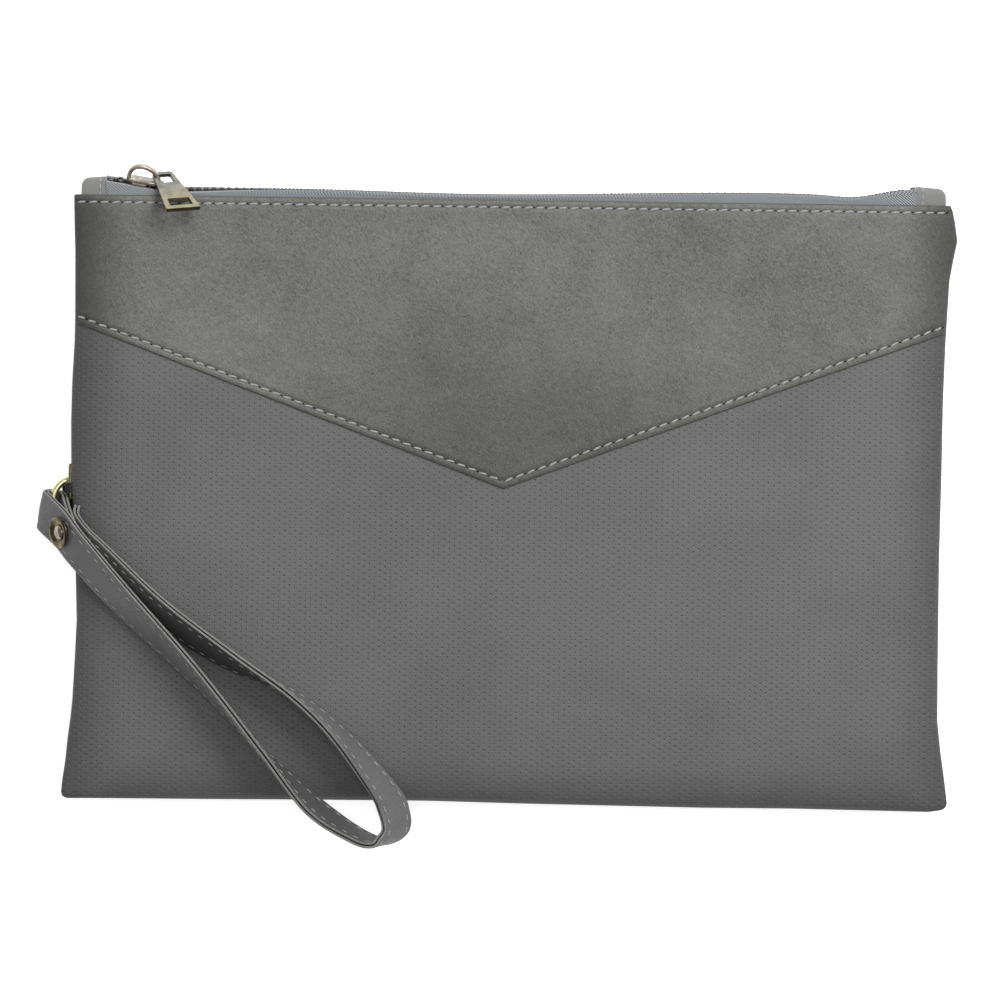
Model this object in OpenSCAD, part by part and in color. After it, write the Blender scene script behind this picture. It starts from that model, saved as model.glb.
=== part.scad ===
// Zip-top deposit bag with a front overlay, side D-ring and folded wrist strap.
// The bag lies on its back: +X runs along the zip, +Y points to the zip, +Z out of the front.
// The origin is the centre of the flat resting face of the back panel.

/* [Bag body] */
// Height of the bag from the bottom seam to the top lip
body_h = 198.5; // [190:0.5:205]
// Half width of the bag at its top corners
top_half_w = 144.5; // [142:0.5:148]
// Half width of the bag at its waist
waist_half_w = 142; // [140:0.5:144]
// Half width of the bag at its bottom corners
bottom_half_w = 146; // [142:0.5:149]
// Height of the crown of the front panel above the resting face
front_peak_z = 16.5; // [14:0.5:18]
// Height of the front top lip above the resting face
lip_z = 11; // [10.8:0.1:11.8]
// Thickness of the leather panels
panel_t = 1; // [0.7:0.05:1.2]
// Thickness of the woven lining
lining_t = 0.35; // [0.2:0.05:0.5]
// Thickness of the pointed front overlay
overlay_t = 0.9; // [0.5:0.05:1.2]
// Y of the overlay edge at the side seams
overlay_side_y = 57.5; // [45:0.5:70]
// Y of the overlay point
overlay_tip_y = 4.5; // [0:0.5:30]

/* [Zip] */
// Pitch of the teeth on one tape
tooth_pitch = 2.5; // [2:0.25:3]
// Half width of the chain, across both rows of teeth
chain_half_w = 2.8; // [2.5:0.1:2.9]
// Height of the chain centre above the resting face
chain_z = 6; // [5.8:0.1:6.2]
// X of the slider centre with the zip closed
slider_x = -121; // [-122:0.5:-119]
// Length of the slider body
slider_l = 11.5; // [11:0.5:12]
// Angle of the slider on the rising end of the chain
slider_tilt = -9.5; // [-11:0.5:-8]
// Turn of the slider about the chain, towards the front
slider_twist = 15; // [10:1:16]

/* [Pull] */
// Length of the pull plate
pull_l = 21; // [19:0.5:22]
// Width of the free end of the pull plate
pull_end_w = 13.2; // [11:0.2:14]
// Width of the hooked end of the pull plate
pull_top_w = 5.2; // [4.8:0.2:6]
// Thickness of the pull plate
pull_t = 1.5; // [1.2:0.1:1.6]

/* [Rings] */
// Wire diameter of the strap ring
ring_wire_d = 2.2; // [1.8:0.1:2.4]
// Centreline radius of the round ends of the strap ring
ring_r = 6.6; // [6.4:0.1:6.8]
// Wire diameter of the side D-ring
d_ring_wire_d = 1.6; // [1.4:0.1:1.7]

/* [Strap] */
// Thickness of each of the two leather layers of the strap
strap_layer_t = 0.75; // [0.5:0.05:0.8]
// Thickness of the stiffener between the strap layers
strap_core_t = 0.4; // [0.2:0.05:0.5]
// Diameter of the domed rivet cap
rivet_d = 10; // [8:0.5:11]

/* [Hidden] */

eps = 0.02;
half_h = body_h / 2;
waist_y = -40;
seam_back_z = 8;
seam_gap = 0.1;
seam_front_z = seam_back_z + 2 * panel_t + seam_gap;
lip_share = (lip_z - seam_front_z) / (front_peak_z - seam_front_z);
back_lip_z = 0.4;
layer_gap = 0.15;
tape_t = 0.5;
thread_d = 0.5;

leather = [0.42, 0.42, 0.42];
suede = [0.43, 0.43, 0.41];
dark_cloth = [0.2, 0.21, 0.22];
tape_grey = [0.5, 0.53, 0.56];
thread_grey = [0.65, 0.67, 0.68];
old_brass = [0.5, 0.45, 0.3];
bright_brass = [0.75, 0.7, 0.4];

// ---- Surfaces of the bag ----

// Half width of the outline at height y
function half_width(y) = y > waist_y
    ? waist_half_w + (top_half_w - waist_half_w) * pow((y - waist_y) / (half_h - waist_y), 1.5)
    : waist_half_w + (bottom_half_w - waist_half_w) * pow((waist_y - y) / (waist_y + half_h), 2);

// Soft rounding that is 1 in the middle and 0 at the seam
function round_off(a, n) = pow(max(0, 1 - pow(min(1, abs(a)), n)), 0.6);

// Outer surface of the front panel; u and v run from -1 to 1 across and up the bag
function front_side(u, v) = round_off(u, 6 + 8 * pow(max(0, v), 3));
function front_up(v) = v < 0 ? round_off(v, 6) : 1 - (1 - lip_share) * pow(v, 3);
function front_z(u, v) = seam_front_z
    + (front_peak_z - seam_front_z) * front_side(u, v) * front_up(v);

// Outer surface of the back panel, flat on the resting face in the middle
function back_up(v) = v < 0 ? round_off(v, 10) : 1 - (back_lip_z / seam_back_z) * pow(v, 6);
function back_z(u, v) = max(0, seam_back_z * (1 - 1.004 * round_off(u, 10) * back_up(v)));

// Stations from -1 to 1, close together at both ends
function stations(n) = [for (i = [0:n]) sin(-90 + 180 * i / n)];
cross_u = stations(20);
up_v = stations(12);

// Grid of points over u (outer list) and v (inner list), drop below the given surface
function front_grid(us, vs, inset, drop) = [for (u = us) [for (v = vs)
    let (y = v * (half_h - inset))
    [u * (half_width(y) - inset), y, front_z(u, v) - drop]]];
function back_grid(us, vs, inset, lift) = [for (u = us) [for (v = vs)
    let (y = v * (half_h - inset))
    [u * (half_width(y) - inset), y, back_z(u, v) + lift]]];

// Closed solid between two grids of the same size; columns run +X, rows run +Y, top is +Z
module slab(top, bottom) {
    n = len(top);
    m = len(top[0]);
    function id(i, j) = i * m + j;
    function low(i, j) = n * m + i * m + j;
    points = [for (col = top) each col, for (col = bottom) each col];
    faces = [
        for (i = [0:n - 2], j = [0:m - 2]) each [
            [id(i, j), id(i, j + 1), id(i + 1, j + 1)],
            [id(i, j), id(i + 1, j + 1), id(i + 1, j)],
            [low(i, j), low(i + 1, j + 1), low(i, j + 1)],
            [low(i, j), low(i + 1, j), low(i + 1, j + 1)]
        ],
        for (i = [0:n - 2]) each [
            [id(i, 0), id(i + 1, 0), low(i + 1, 0)],
            [id(i, 0), low(i + 1, 0), low(i, 0)],
            [id(i + 1, m - 1), id(i, m - 1), low(i, m - 1)],
            [id(i + 1, m - 1), low(i, m - 1), low(i + 1, m - 1)]
        ],
        for (j = [0:m - 2]) each [
            [id(0, j + 1), id(0, j), low(0, j)],
            [id(0, j + 1), low(0, j), low(0, j + 1)],
            [id(n - 1, j), id(n - 1, j + 1), low(n - 1, j + 1)],
            [id(n - 1, j), low(n - 1, j + 1), low(n - 1, j)]
        ]
    ];
    polyhedron(points, faces, convexity = 6);
}

module front_panel() {
    color(leather) slab(front_grid(cross_u, up_v, 0, 0), front_grid(cross_u, up_v, 0, panel_t));
}

module back_panel() {
    color(leather) slab(back_grid(cross_u, up_v, 0, panel_t), back_grid(cross_u, up_v, 0, 0));
}

// Lower edge of the overlay at u, in Y
function overlay_y(u) = overlay_tip_y + (overlay_side_y - overlay_tip_y) * abs(u);
function overlay_grid(us, rows, lift) = [for (u = us) [for (k = [0:rows])
    let (y = overlay_y(u) + (half_h - overlay_y(u)) * k / rows)
    [u * half_width(y), y, front_z(u, y / half_h) + lift]]];

module front_overlay() {
    color(suede) slab(overlay_grid(cross_u, 8, layer_gap + overlay_t), overlay_grid(cross_u, 8, layer_gap));
}

// The linings stop short of the side seams and of the zip tapes
lining_inset = 3;
lining_gap = 0.45;
lining_reach = 0.97;
lining_top = 0.85;
lining_v = [for (i = [0:8]) -lining_reach + (lining_top + lining_reach) * sin(90 * i / 8)];
lining_u = [for (i = [0:14]) lining_reach * sin(-90 + 180 * i / 14)];

module lining_front() {
    drop = panel_t + lining_gap;
    color(dark_cloth) slab(front_grid(lining_u, lining_v, lining_inset, drop),
                           front_grid(lining_u, lining_v, lining_inset, drop + lining_t));
}

module lining_back() {
    lift = panel_t + lining_gap;
    color(dark_cloth) slab(back_grid(lining_u, lining_v, lining_inset, lift + lining_t),
                           back_grid(lining_u, lining_v, lining_inset, lift));
}

// ---- Zip ----

tab_left_x = -134;
tab_right_x = 133.5;

// Centre of the chain in Y: a straight slope under the slider, gentle waves, and a rise at the right end
slider_y = 102.7;
knee_l = 8;
wave_h = 0.5;
wave_rate = 2.6;
rise_h = 2.9;
rise_x = 139;
rise_l = 15;
untwist_l = 25;
knee_x = slider_x + knee_l;
knee_y = slider_y + (knee_x - slider_x) * tan(slider_tilt);
function chain_y(x) = x < knee_x
    ? slider_y + (x - slider_x) * tan(slider_tilt)
    : knee_y + wave_h * sin(wave_rate * (x - knee_x)) + rise_h * exp(-pow((x - rise_x) / rise_l, 2));

// Turn of the chain about X, greatest at the slider
function chain_twist(x) = x < knee_x ? slider_twist : slider_twist * exp(-pow((x - knee_x) / untwist_l, 2));

// Point beside the chain at x: row counts from the chain centre to the front tape, up along the teeth
function chain_point(x, row, up) = let (a = chain_twist(x))
    [x, chain_y(x) + up * cos(a) - row * sin(a), chain_z + up * sin(a) + row * cos(a)];

tape_gap = 0.1;
tape_x = [for (i = [0:26]) tab_left_x + tape_gap + (tab_right_x - tab_left_x - 2 * tape_gap) * i / 26];
tape_start_y = 91;
lip_band_y = [96.5, 98.8];
tape_lift = 0.55;
fold_row = 1.5;
fold_drop = 0.4;
back_fold = 1.4;
tape_edge_rows = [1.15, 0.05];

function lip_inner_z(x) = front_z(x / half_width(half_h), 1) - panel_t - layer_gap;
function back_inner_z(x) = back_z(x / half_width(half_h), 1) + panel_t + tape_lift;

// Section of one tape at x, from under its lip to its row of teeth.
// side is +1 for the front tape and -1 for the back one; off is the depth below the tape's outer face.
function tape_line(x, side, off) =
    let (u = x / half_width(tape_start_y), v = tape_start_y / half_h)
    let (z_start = side > 0 ? front_z(u, v) - panel_t - layer_gap : back_z(u, v) + panel_t + tape_lift)
    let (z_lip = side > 0 ? lip_inner_z(x) : back_inner_z(x))
    let (up = tape_t / 2 - off)
    let (bend = chain_point(x, side * (chain_half_w + fold_row), up - fold_drop))
    let (bend_y = side > 0 ? bend[1] : chain_y(x) - back_fold)
    let (bend_z = side > 0 ? max(bend[2], z_lip - off) : back_lip_z + tape_lift + off)
    [
        [x, tape_start_y, z_start - side * off],
        [x, lip_band_y[0], z_lip - side * off],
        [x, lip_band_y[1], z_lip - side * off],
        [x, bend_y, bend_z],
        chain_point(x, side * (chain_half_w + tape_edge_rows[0]), up),
        chain_point(x, side * (chain_half_w + tape_edge_rows[1]), up)
    ];

module zip_tape_front() {
    color(tape_grey) slab([for (x = tape_x) tape_line(x, 1, 0)], [for (x = tape_x) tape_line(x, 1, tape_t)]);
}

module zip_tape_back() {
    color(tape_grey) slab([for (x = tape_x) tape_line(x, -1, tape_t)],
                          [for (x = tape_x) tape_line(x, -1, 0)]);
}

// Place on the chain at x, turned with its slope and twist
module on_chain(x) {
    slope = atan((chain_y(x + 0.5) - chain_y(x - 0.5)));
    translate([x, chain_y(x), chain_z]) rotate([0, 0, slope]) rotate([chain_twist(x), 0, 0]) children();
}

// One metal tooth, reaching from its tape across the chain centre
tooth_t = 1.1;
tooth_h = 2.1;
tooth_overlap = 0.6;
tooth_reach = chain_half_w + tooth_overlap;
module tooth(x, side) {
    on_chain(x) translate([0, 0, side * (chain_half_w - tooth_reach / 2)])
        cube([tooth_t, tooth_h, tooth_reach], center = true);
}

teeth_from = slider_x - 1.2;
teeth_end_gap = 3;
tooth_count = floor((tab_right_x - teeth_end_gap - teeth_from) / tooth_pitch);

module zip_teeth(side, shift) {
    color(old_brass) for (i = [0:tooth_count - 1]) tooth(teeth_from + shift + i * tooth_pitch, side);
}

module zip_teeth_front() {
    zip_teeth(1, 0);
}

module zip_teeth_back() {
    zip_teeth(-1, tooth_pitch / 2);
}

stop_size = [1.6, 2.1, 1.4];
stop_gap = 2.6;
stop_row = 2;
end_stop_size = [1.6, 2.2, 5.4];
end_stop_gap = 1.2;

// Wire stops on both tapes between the left tab and the slider
module zip_top_stops() {
    color(old_brass) for (side = [-1, 1])
        on_chain(slider_x - slider_l / 2 - stop_gap) translate([0, 0, side * stop_row])
            cube(stop_size, center = true);
}

// One clip across both tapes at the right end of the chain
module zip_bottom_stop() {
    color(old_brass) on_chain(tab_right_x - end_stop_gap) cube(end_stop_size, center = true);
}

// Folded leather tab over one end of the zip; xs run towards +X
tab_t = 0.8;
tab_nose_y = 105.4;
tab_root_y = 96;
tab_nose_r = 2.4;
corner_x = 139;
corner_l = 4;
corner_drop = 1.8;
function tab_line(x, off) =
    let (top_z = lip_inner_z(x) - off, bottom_z = back_inner_z(x) + off)
    let (mid_z = (top_z + bottom_z) / 2, rise = (top_z - bottom_z) / 2)
    let (corner = abs(x) < corner_x ? 0 : corner_drop * pow((abs(x) - corner_x) / corner_l, 2))
    let (nose_y = tab_nose_y - tab_nose_r - corner)
    [
        [x, tab_root_y, top_z],
        for (a = [90:-30:-90]) [x, nose_y + (tab_nose_r - off) * cos(a), mid_z + rise * sin(a)],
        [x, tab_root_y, bottom_z]
    ];

module zip_end_tab(xs) {
    color(leather) slab([for (x = xs) tab_line(x, 0)], [for (x = xs) tab_line(x, tab_t)]);
}

module zip_end_tab_left() {
    zip_end_tab([-142.6, -142, -141, -139, tab_left_x]);
}

module zip_end_tab_right() {
    zip_end_tab([tab_right_x, 139, 141, 142, 142.8]);
}

// ---- Sewing threads ----

// Thin square thread laid along a list of points
module thread(path) {
    r = thread_d / 2;
    slab([for (p = path) [p + [0, -r, thread_d], p + [0, r, thread_d]]],
         [for (p = path) [p + [0, -r, 0], p + [0, r, 0]]]);
}

stitch_in = 2;
thread_reach = 0.985;
thread_u = [for (i = [-18:18]) thread_reach * i / 18];
thread_gap = 0.16;
thread_lift = layer_gap + overlay_t + thread_gap;
v_stitch_in = stitch_in + 0.3;

module top_edge_thread() {
    y = half_h - stitch_in;
    color(thread_grey) thread([for (u = thread_u)
        [u * half_width(y), y, front_z(u, y / half_h) + thread_lift]]);
}

module overlay_thread() {
    color(thread_grey) thread([for (u = thread_u)
        let (y = overlay_y(u) + v_stitch_in)
        [u * half_width(y), y, front_z(u, y / half_h) + thread_lift]]);
}

tab_thread_gap = 0.12;

// One thread across each end tab, 2 mm from its inner edge
module end_tab_threads() {
    start_y = 99.6;
    length = 3;
    for (x = [tab_left_x - stitch_in, tab_right_x + stitch_in])
        color(thread_grey) translate([x - thread_d / 2, start_y, lip_inner_z(x) + tab_thread_gap])
            cube([thread_d, length, thread_d / 2]);
}

// ---- Side tab, D-ring and strap ring ----

d_bar_x = -144.4;
d_bar_z = 7.6;
d_mid_y = 5;
d_half_w = 5;
d_leg = 1.2;
tab_half_w = 1.75;
tab_mid_y = 2.8;
tab_gap = 0.1;
ring_tab_t = 0.9;
tab_in_r = d_ring_wire_d / 2 + tab_gap;
tab_out_r = tab_in_r + ring_tab_t;

// Leather loop round the straight bar of the D-ring, sewn to the side seam
module ring_tab() {
    neck_l = 1.8;
    root = 0.3;
    color(leather) translate([d_bar_x, tab_mid_y + tab_half_w, d_bar_z]) rotate([90, 0, 0])
        linear_extrude(2 * tab_half_w) difference() {
            union() {
                circle(r = tab_out_r, $fn = 48);
                translate([0, tab_in_r - root]) square([neck_l, ring_tab_t + root]);
            }
            circle(r = tab_in_r, $fn = 48);
        }
}

module ring_tab_thread() {
    length = 2.6;
    from_bar = 1.2;
    color(thread_grey) translate([d_bar_x + from_bar, tab_mid_y - length / 2, d_bar_z + tab_out_r + eps])
        cube([thread_d, length, thread_d / 2]);
}

// Upright D of round wire, its bar on top inside the side tab
module side_d_ring() {
    wire_r = d_ring_wire_d / 2;
    color(old_brass) translate([d_bar_x, d_mid_y, d_bar_z]) {
        translate([0, d_half_w, 0]) rotate([90, 0, 0]) cylinder(r = wire_r, h = 2 * d_half_w, $fn = 32);
        for (side = [-1, 1]) translate([0, side * d_half_w, 0]) {
            sphere(r = wire_r, $fn = 32);
            translate([0, 0, -d_leg]) cylinder(r = wire_r, h = d_leg, $fn = 32);
        }
        translate([0, 0, -d_leg]) rotate([0, 90, 0]) rotate([0, 0, -90])
            rotate_extrude(angle = 180, $fn = 64) translate([d_half_w, 0]) circle(r = wire_r, $fn = 24);
    }
}

ring_x = -143.9;
ring_top_y = -1.2;
ring_low_y = -7.2;
ring_z = 4;
ring_tilt = 18;

// Oval ring of round wire that joins the strap to the D-ring
module strap_ring() {
    wire_r = ring_wire_d / 2;
    straight = ring_top_y - ring_low_y;
    color(bright_brass) translate([ring_x, ring_low_y, ring_z]) rotate([0, ring_tilt, 0]) {
        translate([0, straight, 0]) rotate_extrude(angle = 180, $fn = 64)
            translate([ring_r, 0]) circle(r = wire_r, $fn = 24);
        rotate([0, 0, 180]) rotate_extrude(angle = 180, $fn = 64)
            translate([ring_r, 0]) circle(r = wire_r, $fn = 24);
        for (side = [-1, 1]) translate([side * ring_r, straight, 0]) rotate([90, 0, 0])
            cylinder(r = wire_r, h = straight, $fn = 24);
    }
}

// ---- Slider and pull ----

plate_t = 1.05;
channel_half_h = 1.2;
slider_half_w = 3.75;
flange_t = 0.75;
flange_h = 0.8;
bridge_r = 6.1;
bridge_band = 1.3;
bridge_w = 2.2;
bridge_drop = 1.2;
corner_r = 1.2;
wide_to_x = 0.5;
tail_half_w = 3.1;
flange_l = 4.8;
flange_x = -2.1;
sunk = 0.2;
wedge_r = 1;
wedge_in = 1.6;

module slider_place() {
    translate([slider_x, slider_y, chain_z]) rotate([0, 0, slider_tilt])
        rotate([slider_twist, 0, 0]) children();
}

// Outline of one slider plate seen along Y: full width at the nose, narrower at the tail
module slider_outline() {
    nose = -slider_l / 2;
    polygon([[nose + corner_r, -slider_half_w], [wide_to_x, -slider_half_w], [slider_l / 2, -tail_half_w],
             [slider_l / 2, tail_half_w], [wide_to_x, slider_half_w], [nose + corner_r, slider_half_w]]);
    for (side = [-1, 1]) translate([nose + corner_r, side * (slider_half_w - corner_r)])
        circle(r = corner_r, $fn = 32);
    translate([nose, corner_r - slider_half_w]) square([2 * corner_r, 2 * (slider_half_w - corner_r)]);
}

// Both plates, their side flanges and the wedge between them at the nose
module slider_body() {
    color(old_brass) slider_place() {
        translate([0, channel_half_h + plate_t, 0]) rotate([90, 0, 0])
            linear_extrude(plate_t) slider_outline();
        translate([0, -channel_half_h, 0]) rotate([90, 0, 0]) linear_extrude(plate_t) slider_outline();
        for (side = [-1, 1], up = [-1, 1])
            translate([flange_x, up * (channel_half_h + (sunk - flange_h) / 2),
                       side * (slider_half_w - flange_t / 2)])
                cube([flange_l, flange_h + sunk, flange_t], center = true);
        translate([-slider_l / 2 + wedge_in, channel_half_h + sunk, 0]) rotate([90, 0, 0])
            cylinder(r = wedge_r, h = 2 * (channel_half_h + sunk), $fn = 40);
    }
}

// Arched bridge on the outer plate that carries the pull
module slider_bridge() {
    top_y = channel_half_h + plate_t;
    color(old_brass) slider_place() intersection() {
        translate([0, top_y - bridge_drop, -bridge_w / 2]) difference() {
            cylinder(r = bridge_r, h = bridge_w, $fn = 96);
            translate([0, 0, -bridge_w]) cylinder(r = bridge_r - bridge_band, h = 3 * bridge_w, $fn = 96);
        }
        translate([-2 * bridge_r, top_y + eps, -bridge_w]) cube([4 * bridge_r, 2 * bridge_r, 2 * bridge_w]);
    }
}

// Place of the pull: its hooked end sits in the bridge, its free end leans over the front lip
pull_dir = [0.33, -0.56, 0.8];
pull_side = [0.95, 0.05, -0.28];
pull_top = [-116.92, 107.93, 4.28];
window_s = 1.4;
window_h = 5.4;
window_half = 2;
slot_s = 15.7;
slot_h = 3.8;
chamfer = 0.8;
shoulder_s = 1;
window_flare = 0.25;
slot_margin = [2.2, 1.6];

module pull_place() {
    p = pull_dir / norm(pull_dir);
    s0 = pull_side - p * (pull_side * p);
    s = s0 / norm(s0);
    n = cross(p, s);
    multmatrix([[s[0], p[0], -n[0], pull_top[0]],
                [s[1], p[1], -n[1], pull_top[1]],
                [s[2], p[2], -n[2], pull_top[2]]]) children();
}

// Four-sided hole between two places along the pull, each with its half width
module trapezium(from, half_from, to, half_to) {
    polygon([[-half_from, from], [half_from, from], [half_to, to], [-half_to, to]]);
}

// Plate with a window at the hooked end and a slot at the free end
module pull_tab() {
    function half_at(s) = (pull_top_w + (pull_end_w - pull_top_w) * s / pull_l) / 2;
    color(old_brass) pull_place() translate([0, 0, -pull_t / 2]) linear_extrude(pull_t) difference() {
        polygon([[chamfer - half_at(0), 0], [half_at(0) - chamfer, 0],
                 [half_at(shoulder_s), shoulder_s], [pull_end_w / 2, pull_l],
                 [-pull_end_w / 2, pull_l], [-half_at(shoulder_s), shoulder_s]]);
        trapezium(window_s, window_half, window_s + window_h, window_half + window_flare);
        trapezium(slot_s - slot_h / 2, half_at(slot_s) - slot_margin[0],
                  slot_s + slot_h / 2, half_at(slot_s) - slot_margin[1]);
    }
}

// ---- Strap ----

// Places along the strap's mid surface, each a point on its lower edge and one on its upper edge
strap_return = [
    [[-145, -14, 7], [-142, -3, 12.5]],
    [[-145, -17, 8.5], [-142, -6, 14]],
    [[-141, -22, 13], [-138, -11, 18.5]],
    [[-135.5, -25.5, 14], [-132.5, -16, 22]],
    [[-117.5, -40, 16.5], [-113.5, -33.5, 27]],
    [[-94, -54.5, 17.5], [-90, -51, 29]],
    [[-70, -64, 17.5], [-71, -64.5, 30]],
    [[-51.5, -77.5, 17.5], [-57.5, -77.5, 29]],
    [[-35, -95, 17], [-44.5, -95.5, 24.5]]
];
strap_loop = [
    [[-31.5, -102.5, 16.5], [-41, -102.5, 23]],
    [[-31.5, -108, 16], [-39.5, -108, 25.5]],
    [[-35, -111.5, 16], [-41, -111, 27.5]],
    [[-40, -112, 16], [-43.5, -113.5, 28.5]],
    [[-48.5, -108, 16.5], [-50, -112, 28.5]]
];
strap_front = [
    [[-61, -99, 17], [-64.5, -103, 28.5]],
    [[-78, -85, 17.5], [-79, -84.5, 30]],
    [[-95, -68, 17.5], [-93.5, -66, 30]],
    [[-109.5, -55, 17], [-106, -51, 28.5]],
    [[-129, -37.5, 15.5], [-124.5, -30.5, 25.5]],
    [[-143, -23, 14], [-140, -12.5, 20.5]]
];
strap_fold = [
    [[-148, -17, 10.5], [-145, -6, 16.5]],
    [[-153.5, -12, 6.5], [-151, 0, 10]],
    [[-154.5, -10.5, 4.5], [-152.5, 1.5, 7.5]],
    [[-153.5, -10, 2.5], [-151.5, 2, 4.5]],
    [[-151, -10, 1.5], [-149.5, 2, 2.5]],
    [[-148.5, -10, 2.5], [-147.5, 1.5, 3]],
    [[-147, -9.5, 5], [-146.5, 0.5, 6]],
    [[-147.5, -12.5, 8.5], [-145.5, -2.5, 11]],
    [[-147, -17, 9.5], [-144, -6.5, 15.5]],
    [[-146, -19, 10.5], [-143, -8.5, 17]]
];
strap_route = concat(strap_return, strap_loop, strap_front, strap_fold);

function spline(a, b, c, d, t) = 0.5 * ((2 * b) + (c - a) * t + (2 * a - 5 * b + 4 * c - d) * t * t
    + (3 * b - a - 3 * c + d) * t * t * t);
function route_at(k, e) = strap_route[min(len(strap_route) - 1, max(0, k))][e];
steps = 3;
strap_n = (len(strap_route) - 1) * steps;
function edge_at(i, e) = let (k = min(floor(i / steps), len(strap_route) - 2), t = i / steps - k)
    spline(route_at(k - 1, e), route_at(k, e), route_at(k + 1, e), route_at(k + 2, e), t);
function unit(v) = v / norm(v);
function mid_at(i) = (edge_at(i, 0) + edge_at(i, 1)) / 2;
function strap_normal(i) = unit(cross(edge_at(i, 1) - edge_at(i, 0),
    mid_at(min(strap_n, i + 0.5)) - mid_at(max(0, i - 0.5))));

// Layer of the strap between two distances from its mid surface, and between two shares of its width
module strap_layer(low, high, from, to, first = 0, last = strap_n) {
    function point(i, share, off) = edge_at(i, 0) * (1 - share) + edge_at(i, 1) * share
        + strap_normal(i) * off;
    slab([for (i = [first:last]) [point(i, to, high), point(i, from, high)]],
         [for (i = [first:last]) [point(i, to, low), point(i, from, low)]]);
}

core_half = strap_core_t / 2;
face_out = core_half + strap_layer_t;

module strap_face() {
    color(leather) strap_layer(core_half + eps, face_out, 0, 1);
}

module strap_core() {
    color(dark_cloth) strap_layer(-core_half, core_half, 0, 1);
}

module strap_backing() {
    color(leather) strap_layer(-face_out, -core_half - eps, 0, 1);
}

// Two rows of thread on the outer face of the strap, between the two ends at the rivet
stitch_rows = [0.13, 0.83];
stitch_w = 0.04;
stitch_sink = 0.1;
stitch_rise = 0.2;
stitch_first = 2 * steps;
stitch_last = strap_n - len(strap_fold) * steps;
module strap_threads() {
    for (row = stitch_rows) color(thread_grey)
        strap_layer(face_out - stitch_sink, face_out + stitch_rise, row, row + stitch_w,
                    stitch_first, stitch_last);
}

// ---- Rivet ----

rivet_at = [-146.9, -11.85, 13.85];
rivet_axis = unit([-0.725, -0.143, 0.62]);
rivet_spin = atan2(rivet_axis[1], rivet_axis[0]);
rivet_lean = acos(rivet_axis[2]);
stack_t = 6.2;
cap_base = face_out + 0.12;
post_r = 1.4;
burr_r = 2.2;
burr_t = 0.6;

module rivet_place() {
    translate(rivet_at) rotate([0, 0, rivet_spin]) rotate([0, rivet_lean, 0]) children();
}

// Domed cap on the face of the strap
module rivet_cap() {
    dome_h = 1.7;
    dome_r = (pow(rivet_d / 2, 2) + pow(dome_h, 2)) / (2 * dome_h);
    color(old_brass) rivet_place() translate([0, 0, cap_base]) intersection() {
        translate([0, 0, dome_h - dome_r]) sphere(r = dome_r, $fn = 96);
        cylinder(r = rivet_d / 2, h = 2 * dome_h, $fn = 96);
    }
}

// Post through the stacked layers
module rivet_post() {
    color(old_brass) rivet_place() translate([0, 0, cap_base - stack_t])
        cylinder(r = post_r, h = stack_t, $fn = 48);
}

module rivet_back() {
    color(old_brass) rivet_place() translate([0, 0, cap_base - stack_t - burr_t])
        cylinder(r = burr_r, h = burr_t, $fn = 64);
}

front_panel();
front_overlay();
back_panel();
lining_front();
lining_back();
zip_tape_front();
zip_tape_back();
zip_teeth_front();
zip_teeth_back();
zip_top_stops();
zip_bottom_stop();
zip_end_tab_left();
zip_end_tab_right();
top_edge_thread();
overlay_thread();
end_tab_threads();
ring_tab();
ring_tab_thread();
slider_body();
slider_bridge();
pull_tab();
side_d_ring();
strap_ring();
strap_face();
strap_core();
strap_backing();
strap_threads();
rivet_cap();
rivet_post();
rivet_back();
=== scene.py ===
import math

import bmesh
import bpy
import numpy as np
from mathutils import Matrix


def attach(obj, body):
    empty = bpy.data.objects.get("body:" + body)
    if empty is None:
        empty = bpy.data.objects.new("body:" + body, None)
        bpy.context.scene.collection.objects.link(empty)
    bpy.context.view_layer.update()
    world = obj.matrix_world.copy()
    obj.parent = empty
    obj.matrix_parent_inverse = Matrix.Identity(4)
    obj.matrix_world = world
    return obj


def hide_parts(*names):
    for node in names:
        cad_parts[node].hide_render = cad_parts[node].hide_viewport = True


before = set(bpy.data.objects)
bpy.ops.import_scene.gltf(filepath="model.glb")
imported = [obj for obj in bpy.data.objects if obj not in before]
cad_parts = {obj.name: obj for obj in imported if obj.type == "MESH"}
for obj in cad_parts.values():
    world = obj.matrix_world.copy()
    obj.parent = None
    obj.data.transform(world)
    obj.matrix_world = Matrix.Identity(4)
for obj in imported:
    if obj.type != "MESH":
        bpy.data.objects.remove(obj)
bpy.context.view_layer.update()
scene = bpy.context.scene
MM = 0.001


# ---- Camera, light and floor ----

def look_down_camera():
    """Camera straight above the bag, with a slight roll."""
    distance, plane, view_width = 5.0, 0.009, 0.330
    roll_slope = 0.0132
    data = bpy.data.cameras.new("camera")
    data.sensor_width = 36
    data.lens = 36 * (distance - plane) / view_width
    data.clip_end = 10
    camera = bpy.data.objects.new("camera", data)
    scene.collection.objects.link(camera)
    camera.location = (-0.00265, 0.0006, distance)
    camera.rotation_euler = (0, 0, math.atan(roll_slope))
    scene.camera = camera


def area_light(name, place, target, size, power):
    data = bpy.data.lights.new(name, "AREA")
    data.shape = "DISK"
    data.size = size
    data.energy = power
    lamp = bpy.data.objects.new(name, data)
    scene.collection.objects.link(lamp)
    lamp.location = place
    away = np.array(place) - np.array(target)
    lamp.rotation_euler = (math.atan2(math.hypot(away[0], away[1]), away[2]), 0,
                           math.atan2(away[1], away[0]) + math.pi / 2)


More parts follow.
